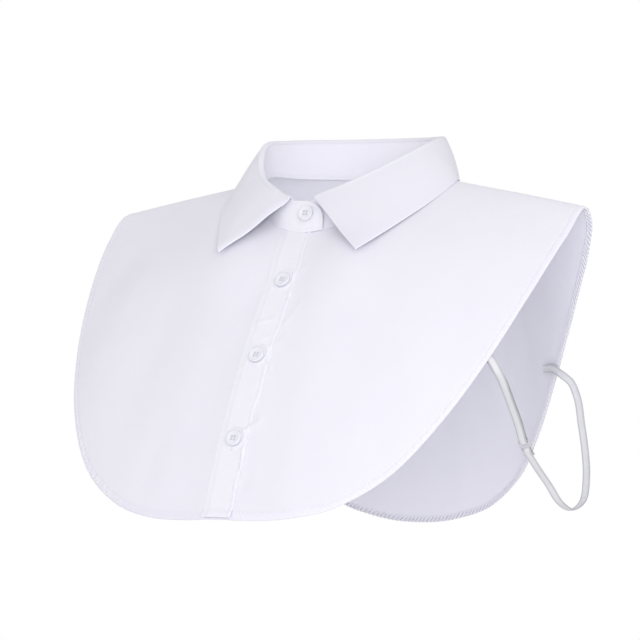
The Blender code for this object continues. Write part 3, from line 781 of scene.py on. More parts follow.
def make_front(name, side, edge_x, seed, finish):
    """A front: lines of constant X at its centre edge, then sections fanned out to the shoulder."""
    fold_x = 12.0 * side
    lines = np.linspace(edge_x, fold_x, max(4, int(abs(edge_x - fold_x) / 1.2)))[:-1]
    start = float(turn_at(fold_x, 1.0))
    fan, along = even_turns(abs(start), SHOULDER_TURN, FRONT_COLUMN_PITCH)
    fan = fan * side
    shares = (fan - start) / (SHOULDER_TURN * side - start)
    line_reaches = section_reaches(turn_at(lines, 1.0), FRONT_ROWS)
    line_turns = turn_at(lines[:, None], line_reaches)
    fan_reaches = section_reaches(fan, FRONT_ROWS)
    at_fold = turn_at(fold_x, fan_reaches)
    fan_turns = at_fold * (1 - shares[:, None]) + SHOULDER_TURN * side * shares[:, None]
    turns = np.concatenate([line_turns, fan_turns])
    reaches = np.concatenate([line_reaches, fan_reaches])
    along_hem = np.concatenate([(lines - fold_x) * side, along])

    def relief(points):
        return front_relief(points[..., 0], points[..., 2])

    points = body_point(turns, reaches)
    centre = np.abs(points[..., 0] - edge_x)
    seam = np.linalg.norm(points - points[-1:], axis=-1)
    return panel(name, turns, reaches, along_hem, relief, seed, finish, np.minimum(centre, seam), FRONT_HEM)


def make_back(finish):
    turns, along = even_turns(SHOULDER_TURN, 360 - SHOULDER_TURN, BACK_COLUMN_PITCH)
    near = np.where(turns > 180, turns - 360, turns)
    reaches = section_reaches(near, BACK_ROWS)
    grid = np.broadcast_to(near[:, None], reaches.shape)

    def relief(points):
        return creases(BACK_CREASES, points[..., 0], points[..., 2])

    points = body_point(grid, reaches)
    seam = np.minimum(
        np.linalg.norm(points - points[:1], axis=-1), np.linalg.norm(points - points[-1:], axis=-1)
    )
    return panel("back_cloth", grid, reaches, along, relief, 1.7, finish, seam, BACK_HEM)


PLACKET_EDGE_STITCH = 3.2
PLACKET_MADE_COLUMNS = 56
PLACKET_MADE_ROWS = 300
PLACKET_SHORT = 1.0
PLACKET_END_LIFT = 1.7
EDGE_STANDS = ((-104, -60), (-152, -116), (-225, -166))
EDGE_STRENGTH = (0.85, 0.6, 1.0)
EDGE_QUIET = 0.5
PLACKET_FLUSH = 0.12


def free_edge(z):
    """Where down the front the placket's free edge stands clear: 1 there, and towards 0 where it lies flat."""
    stands = [smooth(low - 6, low + 6, z) * (1 - smooth(high - 6, high + 6, z)) for low, high in EDGE_STANDS]
    return np.sum([strength * stand for strength, stand in zip(EDGE_STRENGTH, stands)], axis=0)


def placket_shift(reach):
    """How far the placket's top is drawn towards the wearer's right."""
    return PLACKET_TOP_SHIFT * (1 - smooth(0.0, PLACKET_TOP_REACH, reach))


def placket_grid():
    """Columns of the placket, close at its folded edges, and rows down to just above the hem's edge."""
    length = float(section_length(0.0))
    ends = np.array([0, 0.15, 0.4, 0.8])
    x = np.linspace(PLACKET_LEFT, PLACKET_RIGHT, PLACKET_MADE_COLUMNS)
    x = np.concatenate([PLACKET_LEFT + ends, x[3:-3], PLACKET_RIGHT - ends[::-1]])
    down = 1 - (PLACKET_SHORT + ends[::-1]) / length
    reach = np.concatenate([np.linspace(0, down[0], PLACKET_MADE_ROWS)[:-1], down])
    reaches = np.broadcast_to(reach, (len(x), len(reach)))
    z = reaches * length
    wave = 0.55 * np.sin(z / 8.7) + 0.4 * np.sin(z / 4.1 + 1.0)
    free = (x[:, None] - PLACKET_LEFT) / (PLACKET_RIGHT - PLACKET_LEFT)
    return x, reaches, turn_at(x[:, None] + placket_shift(reaches) + wave * free**3, reaches)


BUTTON_X = 0.5
STAND_BUTTON_Z = -8.5
PLACKET_BUTTON_Z = (-56.0, -107.5, -163.5)


def make_placket(finish, stitches):
    x, reaches, turns = placket_grid()
    points, normals = body_point(turns, reaches), body_normal(turns, reaches)
    length = float(section_length(0.0))
    left = np.broadcast_to(x[:, None] - PLACKET_LEFT, reaches.shape)
    right = np.broadcast_to(PLACKET_RIGHT - x[:, None], reaches.shape)
    bottom = (1 - reaches) * length - PLACKET_SHORT
    along = reaches * length
    relief = PLACKET_LIFT + front_relief(points[..., 0], points[..., 2]) + button_lips(points)
    relief = relief + PLACKET_END_LIFT * (1 - smooth(0, 7, bottom))
    for edge, seed, drawn, ridge in ((left, 0.4, 0.08, 0.0), (right, 2.2, 0.22, 0.12)):
        inside = 1 - smooth(PLACKET_EDGE_STITCH - 1, PLACKET_EDGE_STITCH + 3, edge)
        relief = relief - 0.12 * hump(edge - PLACKET_EDGE_STITCH, 0.7) + ridge * hump(edge - 1.4, 1.2)
        relief = relief + drawn * pucker(along, edge, seed) * inside
    relief = relief - (PLACKET_LIFT - PLACKET_FLUSH) * (1 - smooth(0, 6, left))
    relief = relief - EDGE_QUIET * (1 - free_edge(points[..., 2])) * (1 - smooth(0, 7, right))
    full = np.full(reaches.shape, PLACKET_WALL)
    wall = rounded(full, right, bottom)
    outer, inner = lay(points, normals, relief, wall, full)
    piece = shell("placket_cloth", outer, inner, points[..., 0], -bottom, finish)
    for target in (PLACKET_LEFT + PLACKET_EDGE_STITCH, PLACKET_RIGHT - PLACKET_EDGE_STITCH):
        column = int(np.argmin(np.abs(x - target)))
        stitches.run(outer[column], normals[column])
    row = int(np.argmin(np.abs(bottom[0] - HEM_STITCH + PLACKET_SHORT)))
    stitches.run(outer[:, row], normals[:, row])
    return piece


def fold_point(turn):
    turn = np.asarray(turn, float)
    left, right = (curve(FOLD_CURVES[name], np.abs(turn)) for name in ("left_z", "right_z"))
    depth = np.where(np.abs(turn) < 90, FOLD_FRONT, FOLD_BACK)
    return ring_point(turn, FOLD_SIDE, depth, np.where(turn < 0, right, left))


def stand_foot(turn):
    near, far = STAND_FRONT_TURNS
    front = 1 - smooth(near, far, np.abs(turn))
    proud = STAND_SEWN_PROUD + (STAND_FRONT_PROUD - STAND_SEWN_PROUD) * smooth(-8, 2, turn)
    out = proud * front - STAND_INSIDE_NECK * (1 - front)
    foot = neck_point(turn) + ring_outward(turn) * out[..., None]
    foot[..., 2] += STAND_FRONT_LIFT * front + STAND_LIFT * (1 - front)
    return foot


STAND_MADE_COLUMNS = 420
STAND_MADE_ROWS = 30
STAND_STITCH = 2.4
TAB_STITCH_REACH = 34.0
END_STEPS = 30


def corner_slope(from_end):
    """How a height above the stand shrinks to a distance from its rounded corner."""
    across = np.clip(END_CORNER - from_end, 0, END_CORNER) / END_CORNER
    return np.maximum(0.15, np.sqrt(1 - across**2))


def make_stand(finish, stitches):
    """Once round the neck: its right end is the tab on top, its left end lies inside it."""
    tab_turn = math.degrees(math.asin(TAB_REACH / NECK_SIDE))
    whole = 360 + 2 * tab_turn
    round_corner = 1 - np.cos(np.linspace(0, math.pi / 2, END_STEPS + 1))
    ends = np.degrees(END_CORNER / NECK_SIDE * round_corner)
    middle = np.linspace(ends[-1], whole - ends[-1], STAND_MADE_COLUMNS)[1:-1]
    travelled = np.concatenate([ends, middle, whole - ends[::-1]])
    turn = tab_turn - travelled
    near = np.where(turn < -180, turn + 360, turn)
    low, high = stand_foot(near), fold_point(near)
    high[..., 2] -= STAND_BELOW_FOLD
    left_end = np.clip(travelled - (360 + tab_turn - UNDERLAP_TURN), 0, None) / UNDERLAP_TURN
    inset = (UNDERLAP_INSET * np.minimum(1, left_end * 1.5))[:, None]
    from_end = np.radians(travelled) * NECK_SIDE
    nearest_end = np.minimum(from_end, from_end[-1] - from_end)
    corner = np.clip(END_CORNER - nearest_end, 0, None)
    drop = END_CORNER - np.sqrt(np.clip(END_CORNER**2 - corner**2, 0, None))
    low, high = low - ring_outward(near) * inset, high - ring_outward(near) * inset
    height = high[:, 2] - low[:, 2]
    share_up = 1 - drop / height
    rows = np.linspace(0, 1, STAND_MADE_ROWS)
    rows = np.concatenate([[0, 0.012, 0.035], rows[2:-2], [0.965, 0.988, 1]])
    points = low[:, None] + (high - low)[:, None] * (share_up[:, None] * rows)[..., None]
    outward = points * np.array([1.0, 1.0, 0.0])
    outward = unit(outward)
    foot = rows * (share_up * height)[:, None]
    top = (1 - rows) * (share_up * height)[:, None] * corner_slope(nearest_end)[:, None]
    ends = nearest_end[:, None] + 0 * foot
    full = np.full(foot.shape, STAND_WALL)
    wall = rounded(full, foot + 0.3, top + EDGE_ROUND * smooth(28, 36, nearest_end)[:, None], ends)
    around = np.broadcast_to(from_end[:, None], foot.shape)
    edge = np.minimum(np.minimum(foot, top), ends)
    relief = -0.2 * hump(edge - STAND_STITCH, 0.7)
    relief = relief + 0.12 * pucker(around, edge, 0.9) * (1 - smooth(STAND_STITCH, STAND_STITCH + 3, edge))
    relief = relief + 0.35 * np.sin(around / 23.0) * np.sin(math.pi * rows) * smooth(20, 60, around)
    outer, inner = lay(points, outward, relief, wall, full)
    piece = shell("collar_stand_cloth", outer, inner, around, foot, finish)
    first = int(np.argmin(np.abs(from_end - STAND_STITCH)))
    columns = np.arange(first, len(foot) - first)
    low_rows = np.argmin(np.abs(foot[columns] - STAND_STITCH), axis=1)
    stitches.run(outer[columns, low_rows], outward[columns, low_rows])
    stitches.run(inner[columns, low_rows], -outward[columns, low_rows])
    tab_columns = np.arange(first, int(np.argmin(np.abs(from_end - TAB_STITCH_REACH))))
    top_rows = np.argmin(np.abs(top[tab_columns] - STAND_STITCH), axis=1)
    stitches.run(outer[tab_columns, top_rows], outward[tab_columns, top_rows])
    return piece


SEAM_LAP = 0.9
FAR_EDGE_DROP = 1.1
FRONT_SAG = 2.4
LEAF_REST = -0.7
LEAF_SETTLES = (-0.3, 7.0)
SETTLE_FROM = (30, 62)


def laid_on_body(edge, turns_of_edge):
    """The leaf's lower edge, moved square to the body until the leaf's underside rests on it."""
    turns = np.radians(np.arange(-180, 180, 1.5))
    turn, reach = np.meshgrid(np.degrees(turns), np.linspace(0.02, 0.7, 110), indexing="ij")
    face, normals = body_point(turn, reach).reshape(-1, 3), body_normal(turn, reach).reshape(-1, 3)
    nearest = np.array([int(np.argmin(((face - place) ** 2).sum(axis=1))) for place in edge])
    normal = normals[nearest]
    gap = ((edge - face[nearest]) * normal).sum(axis=1) - COLLAR_EDGE_WALL - LEAF_REST
    gap = np.convolve(np.pad(gap, 6, mode="edge"), np.ones(13) / 13, mode="valid")
    round_the_neck = smooth(*SETTLE_FROM, np.abs(turns_of_edge))
    return edge - normal * (np.clip(gap, *LEAF_SETTLES) * round_the_neck)[:, None]


LEAF_MADE_COLUMNS = 300
ROLL_ROWS = 14
FALL_ROWS = 46
LEAF_STITCH = 3.0


def leaf_edge(share):
    """The turn at the fold and the outer edge, share running from the left front corner to the right one."""
    half = np.array(LEAF_SECTIONS, float)
    mirrored = [-1.0 if name in ("fold_turn", "edge_x") else 1.0 for name in LEAF_COLUMNS]
    other = half[-2::-1] * np.array(mirrored)
    a = np.radians(other[:, 0])
    other[:, 3] += RIGHT_LIFT * np.sin(a) ** 2
    other[:, 1:3] *= 1 + RIGHT_SPREAD * np.where(np.cos(a) < 0, np.sin(2 * a) ** 2, 0.0)[:, None]
    from_front = -other[:, 0] - LEAF_SECTIONS[0][0]
    other[:, 0] += 360.0 - RIGHT_LEAF_TURN * np.clip(1 - from_front / RIGHT_LEAF_EASE, 0, 1)
    rows = np.concatenate([half, other])
    return curve(with_slopes(np.linspace(0, 1, len(rows)), rows), share)


def make_leaf(finish, stitches):
    """The turned-down leaf: up from the stand, over the fold, and down to its outer edge."""
    share = np.linspace(0, 1, LEAF_MADE_COLUMNS)
    share = np.concatenate([[0, 0.0005, 0.0013], share[1:-1], [0.9987, 0.9995, 1]])
    rows = leaf_edge(share)
    turn, edge = rows[:, 0], rows[:, 1:]
    near = np.where(turn > 180, turn - 360, turn)
    away, up = ring_outward(near), np.array([0.0, 0.0, 1.0])
    middle = fold_point(near) + away * ROLL_OUT - up * ROLL_DEPTH
    a = np.linspace(0, math.pi, ROLL_ROWS)[None, :, None]
    roll = middle[:, None] - away[:, None] * ROLL_ACROSS * np.cos(a) + up * ROLL_DEPTH * np.sin(a)
    roll = np.concatenate([roll[:, :1] - up * SEAM_LAP, roll[:, :1] - up * SEAM_LAP / 2, roll], axis=1)
    roll_rows = roll.shape[1]
    edge = laid_on_body(edge, near)
    fall = edge - roll[:, -1]
    face = np.cross(stack(-away[:, 1], away[:, 0], 0.0), fall)
    face = unit(face) * np.sign((face * away).sum(axis=1, keepdims=True))
    p = np.linspace(0, 1, FALL_ROWS)[1:]
    p = np.concatenate([p[:-1], [0.985, 0.993, 1.0]])
    bulge = (LEAF_BULGE * 4 * p * (1 - p))[None, :, None]
    down = roll[:, -1:] + fall[:, None] * p[None, :, None] + face[:, None] * bulge
    points = np.concatenate([roll, down], axis=1)
    normals = np.cross(np.gradient(points, axis=0), np.gradient(points, axis=1))
    normals = unit(normals)
    outwards = (normals[:, -8] * face).sum(axis=1).mean()
    normals *= math.copysign(1.0, outwards)
    length = np.linalg.norm(fall, axis=1)[:, None]
    lower = np.concatenate([np.broadcast_to(length + 4, (len(share), roll_rows)), length * (1 - p)], axis=1)
    inner_edge = np.concatenate(
        [np.broadcast_to(np.linspace(0, 7, roll_rows), (len(share), roll_rows)), 7 + length * p], axis=1
    )
    down_share = np.concatenate([np.zeros(roll_rows), p])[None, :]
    left = np.linalg.norm(points - points[:1], axis=-1)
    right = np.linalg.norm(points - points[-1:], axis=-1)
    near_edge = np.minimum(np.minimum(lower, left), right)
    on_fall = smooth(6, 12, inner_edge)
    full = COLLAR_WALL + (COLLAR_EDGE_WALL - COLLAR_WALL) * (1 - smooth(3.5, 6.0, near_edge)) * on_fall
    full = full * (0.75 + 0.25 * on_fall)
    wall = rounded(full, near_edge)
    turned_back = FAR_EDGE_DROP * (1 - smooth(0, 3.6, right)) + 0.3 * (1 - smooth(0, 3.0, left))
    hangs = FRONT_SAG * hump(down_share - 0.6, 0.28) * (1 - smooth(0, 26, np.minimum(right, left)))
    relief = -(turned_back + hangs) * on_fall - 0.14 * hump(near_edge - LEAF_STITCH, 0.6) * on_fall
    around = np.cumsum(np.linalg.norm(np.diff(points[:, -1], axis=0, prepend=points[:1, -1]), axis=1))[:, None]
    around = np.broadcast_to(around, near_edge.shape)
    relief = relief + 0.07 * pucker(around, near_edge, 0.3) * (1 - smooth(3, 6, near_edge)) * on_fall
    outer, inner = lay(points, normals, relief + 0.2 * on_fall, wall, full)
    piece = shell("collar_leaf_cloth", outer, inner, around, inner_edge, finish)
    column = int(np.argmin(np.abs(left[:, -6] - LEAF_STITCH)))
    row = int(np.argmin(np.abs(lower[len(share) // 2] - LEAF_STITCH)))
    fall_rows = slice(roll_rows + 2, row + 1)
    for at in (column, len(share) - 1 - column):
        stitches.run(outer[at, fall_rows], normals[at, fall_rows])
        stitches.run(inner[at, fall_rows], -normals[at, fall_rows])
    across = slice(column, len(share) - column)
    stitches.run(outer[across, row], normals[across, row])
    stitches.run(inner[across, row], -normals[across, row])
    return piece


# Buttons
BUTTON_PROFILE = (
    (0, 0.0),
    (4.6, 0.0),
    (5.3, 0.2),
    (5.68, 0.6),
    (5.75, 1.1),
    (5.65, 1.55),
    (5.3, 1.9),
    (4.9, 2.0),
    (4.5, 1.92),
    (4.1, 1.72),
    (3.6, 1.56),
    (2.6, 1.46),
    (0, 1.4),
)
BUTTON_STEPS = 48
HOLE_RADIUS = 0.75
HOLE_OFFSET = 1.5
HOLE_TURN = 41
BUTTON_LIFT = 0.2


def make_button(name, node, place, normal, finish, thread_finish):
    bm = bmesh.new()
    line = [bm.verts.new((r * METRE, 0, z * METRE)) for r, z in BUTTON_PROFILE]
    edges = [bm.edges.new(pair) for pair in zip(line, line[1:])]
    bmesh.ops.spin(
        bm,
        geom=line + edges,
        cent=(0, 0, 0),
        axis=(0, 0, 1),
        angle=2 * math.pi,
        steps=BUTTON_STEPS,
        use_merge=True,
    )
    bmesh.ops.remove_doubles(bm, verts=bm.verts, dist=1e-6)
    bmesh.ops.recalc_face_normals(bm, faces=bm.faces)
    disc = bpy.data.meshes.new(name + "_disc")
    bm.to_mesh(disc)
    bm.free()
    holes = bmesh.new()
    spots = []
    for side in range(4):
        a = math.radians(HOLE_TURN + 90 * side)
        spots.append(Vector((HOLE_OFFSET * math.cos(a), HOLE_OFFSET * math.sin(a), 1.2)))
        bmesh.ops.create_cone(
            holes,
            cap_ends=True,
            segments=16,
            radius1=HOLE_RADIUS * METRE,
            radius2=HOLE_RADIUS * METRE,
            depth=6 * METRE,
            matrix=Matrix.Translation(spots[-1] * METRE),
        )
    tool_mesh = bpy.data.meshes.new(name + "_holes")
    holes.to_mesh(tool_mesh)
    holes.free()
    blank = bpy.data.objects.new(name + "_blank", disc)
    tool = bpy.data.objects.new(name + "_holes", tool_mesh)
    for made in (blank, tool):
        bpy.context.scene.collection.objects.link(made)
    cut = blank.modifiers.new("holes", "BOOLEAN")
    cut.operation = "DIFFERENCE"
    cut.solver = "EXACT"
    cut.object = tool
    mesh = bpy.data.meshes.new_from_object(blank.evaluated_get(bpy.context.evaluated_depsgraph_get()))
    for made in (blank, tool):
        bpy.data.objects.remove(made, do_unlink=True)
    seat = Matrix.Translation(Vector(place) * METRE) @ Vector(normal).to_track_quat("Z", "Y").to_matrix().to_4x4()
    mesh.transform(seat)
    piece = finish_mesh(name, mesh, finish, sharp=35)
    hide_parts(node)
    sewing = Stitches()
    up = np.array(normal, float)
    for first, second in ((0, 1), (3, 2)):
        ends = [np.array(seat.to_3x3() @ spots[k]) + np.array(place) for k in (first, second)]
        way = unit(ends[1] - ends[0])
        side = np.cross(up, way)
        for strand in (-0.3, 0.0, 0.3):
            middle = (ends[0] + ends[1]) / 2 + side * strand + up * (0.45 - abs(strand) * 0.4)
            sewing.one(middle, way, up, 3.1, 0.36, 0.42)
    for k in range(4):
        sewing.one(np.array(seat.to_3x3() @ spots[k]) + np.array(place) - up * 0.35, up, way, 1.6, 0.9, 0.9)
    return piece, sewing.done(name + "_thread", thread_finish)


def front_button_seat():
    low, high = stand_foot(np.array(0.0)), fold_point(np.array(0.0))
    place = low + (high - low) * (STAND_BUTTON_Z - low[2]) / (high[2] - low[2])
    place[0] = BUTTON_X
    lean = unit(np.cross(high - low, [1.0, 0, 0]))
    lean = lean * math.copysign(1.0, -lean[1])
    return place + lean * BUTTON_LIFT, lean


def placket_button_seat(z):
    reach = np.linspace(0, 1, 2000)
    at = reach[int(np.argmin(np.abs(body_point(np.zeros(2000), reach)[:, 2] - z)))]
    turn = turn_at(BUTTON_X, at)
    place, normal = body_point(turn, at), body_normal(turn, at)
    return place + normal * (PLACKET_LIFT + BUTTON_LIFT), normal


BUTTONHOLE_HALF = 7.6
BUTTONHOLE_BAR = 1.15


def make_buttonhole(place, normal, down, stitches):
    """Two rows of close thread each side of a slit, closed by a bar at each end."""
    side = unit(np.cross(normal, down))
    base = place - normal * (BUTTON_LIFT + 0.02)
    for k in np.arange(-BUTTONHOLE_HALF, BUTTONHOLE_HALF + 0.01, 0.42):
        for half in (-1, 1):
            stitches.one(base + down * k + side * half * 0.85, side, normal, BUTTONHOLE_BAR, 0.46, 0.36)
    for end in (-1, 1):
        for k in np.arange(-1.2, 1.21, 0.4):
            stitches.one(base + down * end * (BUTTONHOLE_HALF + 0.35) + side * k, down, normal, 1.3, 0.46, 0.42)


# Side straps
STRAP_WIDTH = 5.5
STRAP_WALL = 0.8
STRAP_LAYER = 1.35
STRAP_SEWN_LAYER = 1.0
SEWN_EASE = 0.45
CAD_HEM_WALL = 2.0
SEAM_GAP = 0.3
FRONT_ANCHOR = ((57.1, 14.3), (57.8, 7.7), (58.5, 1.2))
BACK_ANCHOR = ((117.0, 5.0), (119.0, 13.0), (121.0, 21.0))
SLIDER_MIDDLE = (167.0, -50.0, -168.0)
SLIDER_LENGTH = 9.0
SLIDER_WIDTH = 8.5
SLIDER_BAR = 1.1
SLIDER_WALL = 1.0
TAPE_TURN = 24.0
STRAP_DROP = (
    (171.0, -98.0, -116.0),
    (171.5, -91.0, -123.0),
    (170.0, -76.0, -138.5),
    (168.0, -61.5, -153.5),
)
ELASTIC_ROUTE = (
    (169, -37, -183),
    (171, -25, -195),
    (173.5, -13, -208),
    (175, 1.5, -213.5),
    (176, 15.5, -208.5),
    (173, 27, -193),
    (168, 35, -176),
    (163, 39, -157),
    (157.6, 41, -135),
    (153.5, 40.5, -126.5),
    (147.5, 39, -121.5),
)


def smooth_route(points, steps):
    points = np.array(points, float)
    along = np.concatenate([[0], np.cumsum(np.linalg.norm(np.diff(points, axis=0), axis=1))])
    return curve(with_slopes(along, points), np.linspace(0, along[-1], steps))


def anchor_place(turn, inset, layers):
    turn = np.array(turn)
    reach = 1 - inset / section_length(turn)
    normal = body_normal(turn, reach)
    depth = CAD_HEM_WALL + SEAM_GAP + STRAP_WALL / 2 + SEWN_EASE + (layers - 1) * STRAP_SEWN_LAYER
    return body_point(turn, reach) - normal * depth, normal


def anchored_widths(route, anchor_normal, flat_length, width):
    way = unit(np.gradient(route, axis=0))
    flat = np.cross(anchor_normal, way[0])
    flat = flat * math.copysign(1.0, flat @ width) / np.linalg.norm(flat)
    along = np.concatenate([[0], np.cumsum(np.linalg.norm(np.diff(route, axis=0), axis=1))])
    free = np.clip((along - flat_length) / TAPE_TURN, 0, 1)[:, None]
    return flat * (1 - free) + width * free


def slider_axes():
    way = unit(np.array(ELASTIC_ROUTE[0], float) - np.array(STRAP_DROP[-1]))
    width = np.array([1.0, 0.25, 0.0])
    width = unit(width - way * (width @ way))
    return way, width, np.cross(way, width)


def bar_loop(bar, face, way):
    return np.array(
        [bar + STRAP_LAYER * (face * math.cos(a) + way * math.sin(a)) for a in np.linspace(0, math.pi, 12)]
    )


TAIL_STEPS = 4
TAPE_CROWN = 0.45
TAPE_LINES = (-1, -0.96, -0.85, -0.5, 0, 0.5, 0.85, 0.96, 1)


def tape(name, node, centre, widths, flip, finish):
    """A flat woven tape along centre, with its width along widths and rounded selvedges."""
    way = unit(np.gradient(centre, axis=0))
    widths = unit(widths - way * (widths * way).sum(axis=1, keepdims=True))
    normal = np.cross(way, widths)
    lines = np.array(TAPE_LINES)
    half = STRAP_WALL / 2 * (0.25 + 0.75 * np.sqrt(1 - lines**4))
    grid = centre + widths * (lines * STRAP_WIDTH / 2)[:, None, None]
    grid = grid + normal * (TAPE_CROWN * (1 - lines**2))[:, None, None]
    side = np.array([-1.0 if flip else 1.0, 1.0, 1.0])
    along = np.concatenate([[0], np.cumsum(np.linalg.norm(np.diff(centre, axis=0), axis=1))])
    outer, inner = grid + normal * half[:, None, None], grid - normal * half[:, None, None]
    across = (lines * STRAP_WIDTH / 2)[:, None]
    piece = shell(name, outer * side, inner * side, across, along[None, :], finish)
    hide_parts(node)
    return piece


def make_strap(side_name, flip, tape_finish, plastic, thread_finish):
    way, width, face = slider_axes()
    side = np.array([-1.0 if flip else 1.0, 1.0, 1.0])
    middle = np.array(SLIDER_MIDDLE)
    half = SLIDER_LENGTH / 2 - SLIDER_BAR / 2
    upper_bar, lower_bar = middle - way * half, middle + way * half
    slider = make_slider("slider_ring_" + side_name, middle, way, width, face, side, plastic)
    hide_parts("slider_" + side_name)

    sewn = [anchor_place(*place, layers=2) for place in FRONT_ANCHOR]
    places = [place for place, _ in sewn]
    route = smooth_route([*places, *STRAP_DROP, upper_bar - way * 2.5], 90)
    widths = anchored_widths(route, sewn[-1][1], np.linalg.norm(places[-1] - places[0]) + 2, width)
    share = np.linspace(0, 1, len(route))[:, None]
    off = unit(np.cross(np.gradient(route, axis=0), widths))
    apart = off * ((STRAP_LAYER - STRAP_SEWN_LAYER) * share + STRAP_SEWN_LAYER)
    loop = bar_loop(upper_bar, face, way)
    centre = np.concatenate([route + apart, loop, (route - apart)[::-1]])
    bar_widths = np.repeat(width[None, :], len(loop), axis=0)
    all_widths = np.concatenate([widths, bar_widths, widths[::-1]])
    doubled = tape("doubled_tape_" + side_name, "strap_short_" + side_name, centre, all_widths, flip, tape_finish)
    midline = route[2:] * side * METRE
    tuple(midline[0])
    [tuple(p) for p in midline]

    sewn_back = [anchor_place(*place, layers=1) for place in BACK_ANCHOR[::-1]]
    places = [place for place, _ in sewn_back]
    route = smooth_route([*places, *ELASTIC_ROUTE[::-1], lower_bar + way * 2.5], 170)
    flat_length = np.linalg.norm(places[-1] - places[0]) + 2
    widths = anchored_widths(route, sewn_back[-1][1], flat_length, width)[::-1]
    route = route[::-1]
    ease = np.clip(1 - np.arange(len(route)) / 30, 0, 1)[:, None]
    tail = (route[:TAIL_STEPS] - face * STRAP_LAYER)[::-1]
    loop = bar_loop(lower_bar, -face, -way)
    centre = np.concatenate([tail, loop, route + face * STRAP_LAYER * ease])
    bar_widths = np.repeat(width[None, :], len(loop) + len(tail), axis=0)
    all_widths = np.concatenate([bar_widths, widths])
    elastic = tape("elastic_" + side_name, "strap_elastic_" + side_name, centre, all_widths, flip, tape_finish)
    midline = route * side * METRE
    tuple(midline[0])
    [tuple(p) for p in midline]
    sewing = Stitches()
    for anchors, layers in ((sewn, 2), (sewn_back, 1)):
        line = np.array([place for place, _ in anchors])
        ways = -np.array([normal for _, normal in anchors])
        cross = unit(np.cross(ways[1], line[2] - line[0]))
        face_height = STRAP_WALL / 2 + (layers - 1) * STRAP_SEWN_LAYER
        for shift in (-0.3, 0.3):
            centre_place = line[1] + (line[2] - line[0]) * shift + ways[1] * face_height
            for k in np.arange(-2.1, 2.2, 0.7):
                sewing.one((centre_place + cross * k) * side, unit((line[2] - line[0]) * side), ways[1] * side, 1.2, 0.4, 0.3)
    sewing.done("strap_stitches_" + side_name, thread_finish)


def make_slider(name, middle, way, width, face, side, finish):
    """A flat ring with a bar across its middle, its edges rounded."""
    bar_across, bar_along = SLIDER_BAR / SLIDER_WIDTH, SLIDER_BAR / SLIDER_LENGTH
    lines_across = (-0.5, -0.5 + bar_across, 0.5 - bar_across, 0.5)
    lines_along = (-0.5, -0.5 + bar_along, -bar_along / 2, bar_along / 2, 0.5 - bar_along, 0.5)
    bm = bmesh.new()
    bmesh.ops.create_grid(bm, x_segments=len(lines_across) - 1, y_segments=len(lines_along) - 1, size=1)
    for k, vertex in enumerate(bm.verts):
        vertex.co = (lines_across[k % len(lines_across)], lines_along[k // len(lines_across)], 0)
    centres = {cell: cell.calc_center_median() for cell in bm.faces}
    windows = [cell for cell, at in centres.items() if abs(at.x) < 0.1 and 0.1 < abs(at.y) < 0.4]
    bmesh.ops.delete(bm, geom=windows, context="FACES")
    made = bmesh.ops.extrude_face_region(bm, geom=bm.faces[:], use_keep_orig=True)
    for vertex in [v for v in made["geom"] if isinstance(v, bmesh.types.BMVert)]:
        vertex.co.z = 1
    for vertex in bm.verts:
        x, y, z = vertex.co
        here = middle + width * x * SLIDER_WIDTH + way * y * SLIDER_LENGTH + face * (z - 0.5) * SLIDER_WALL
        vertex.co = Vector(here * side) * METRE
    bmesh.ops.recalc_face_normals(bm, faces=bm.faces)
    sharp = [edge for edge in bm.edges if edge.calc_face_angle(0) > 1]
    bmesh.ops.bevel(bm, geom=sharp, offset=0.3 * METRE, segments=3, profile=0.5, affect="EDGES", material=-1)
    mesh = bpy.data.meshes.new(name)
    bm.to_mesh(mesh)
    bm.free()
    return finish_mesh(name, mesh, finish, sharp=60)


def make_camera():
    lens = bpy.data.cameras.new("camera")
    lens.lens = 196.875
    lens.sensor_width = 36.0
    lens.clip_start = 0.1
    camera = bpy.data.objects.new("camera", lens)
    camera.location = (1.30442, -2.13284, -0.083)
    camera.rotation_euler = (math.radians(90), 0, math.radians(32))
    bpy.context.scene.collection.objects.link(camera)
    bpy.context.scene.camera = camera


def make_light(name, place, aim, size, power):
    lamp = bpy.data.lights.new(name, "AREA")
    lamp.shape = "DISK"
    lamp.size = size
    lamp.energy = power
    made = bpy.data.objects.new(name, lamp)
    made.location = place
    made.rotation_euler = (Vector(aim) - Vector(place)).to_track_quat("-Z", "Y").to_euler()
    bpy.context.scene.collection.objects.link(made)


ROOM_LIGHT = 0.76
KEY_POWER = 14.0
FRONT_POWER = 14.4
FLOOR_Z = -0.78
FLOOR_RADIUS = 2.6


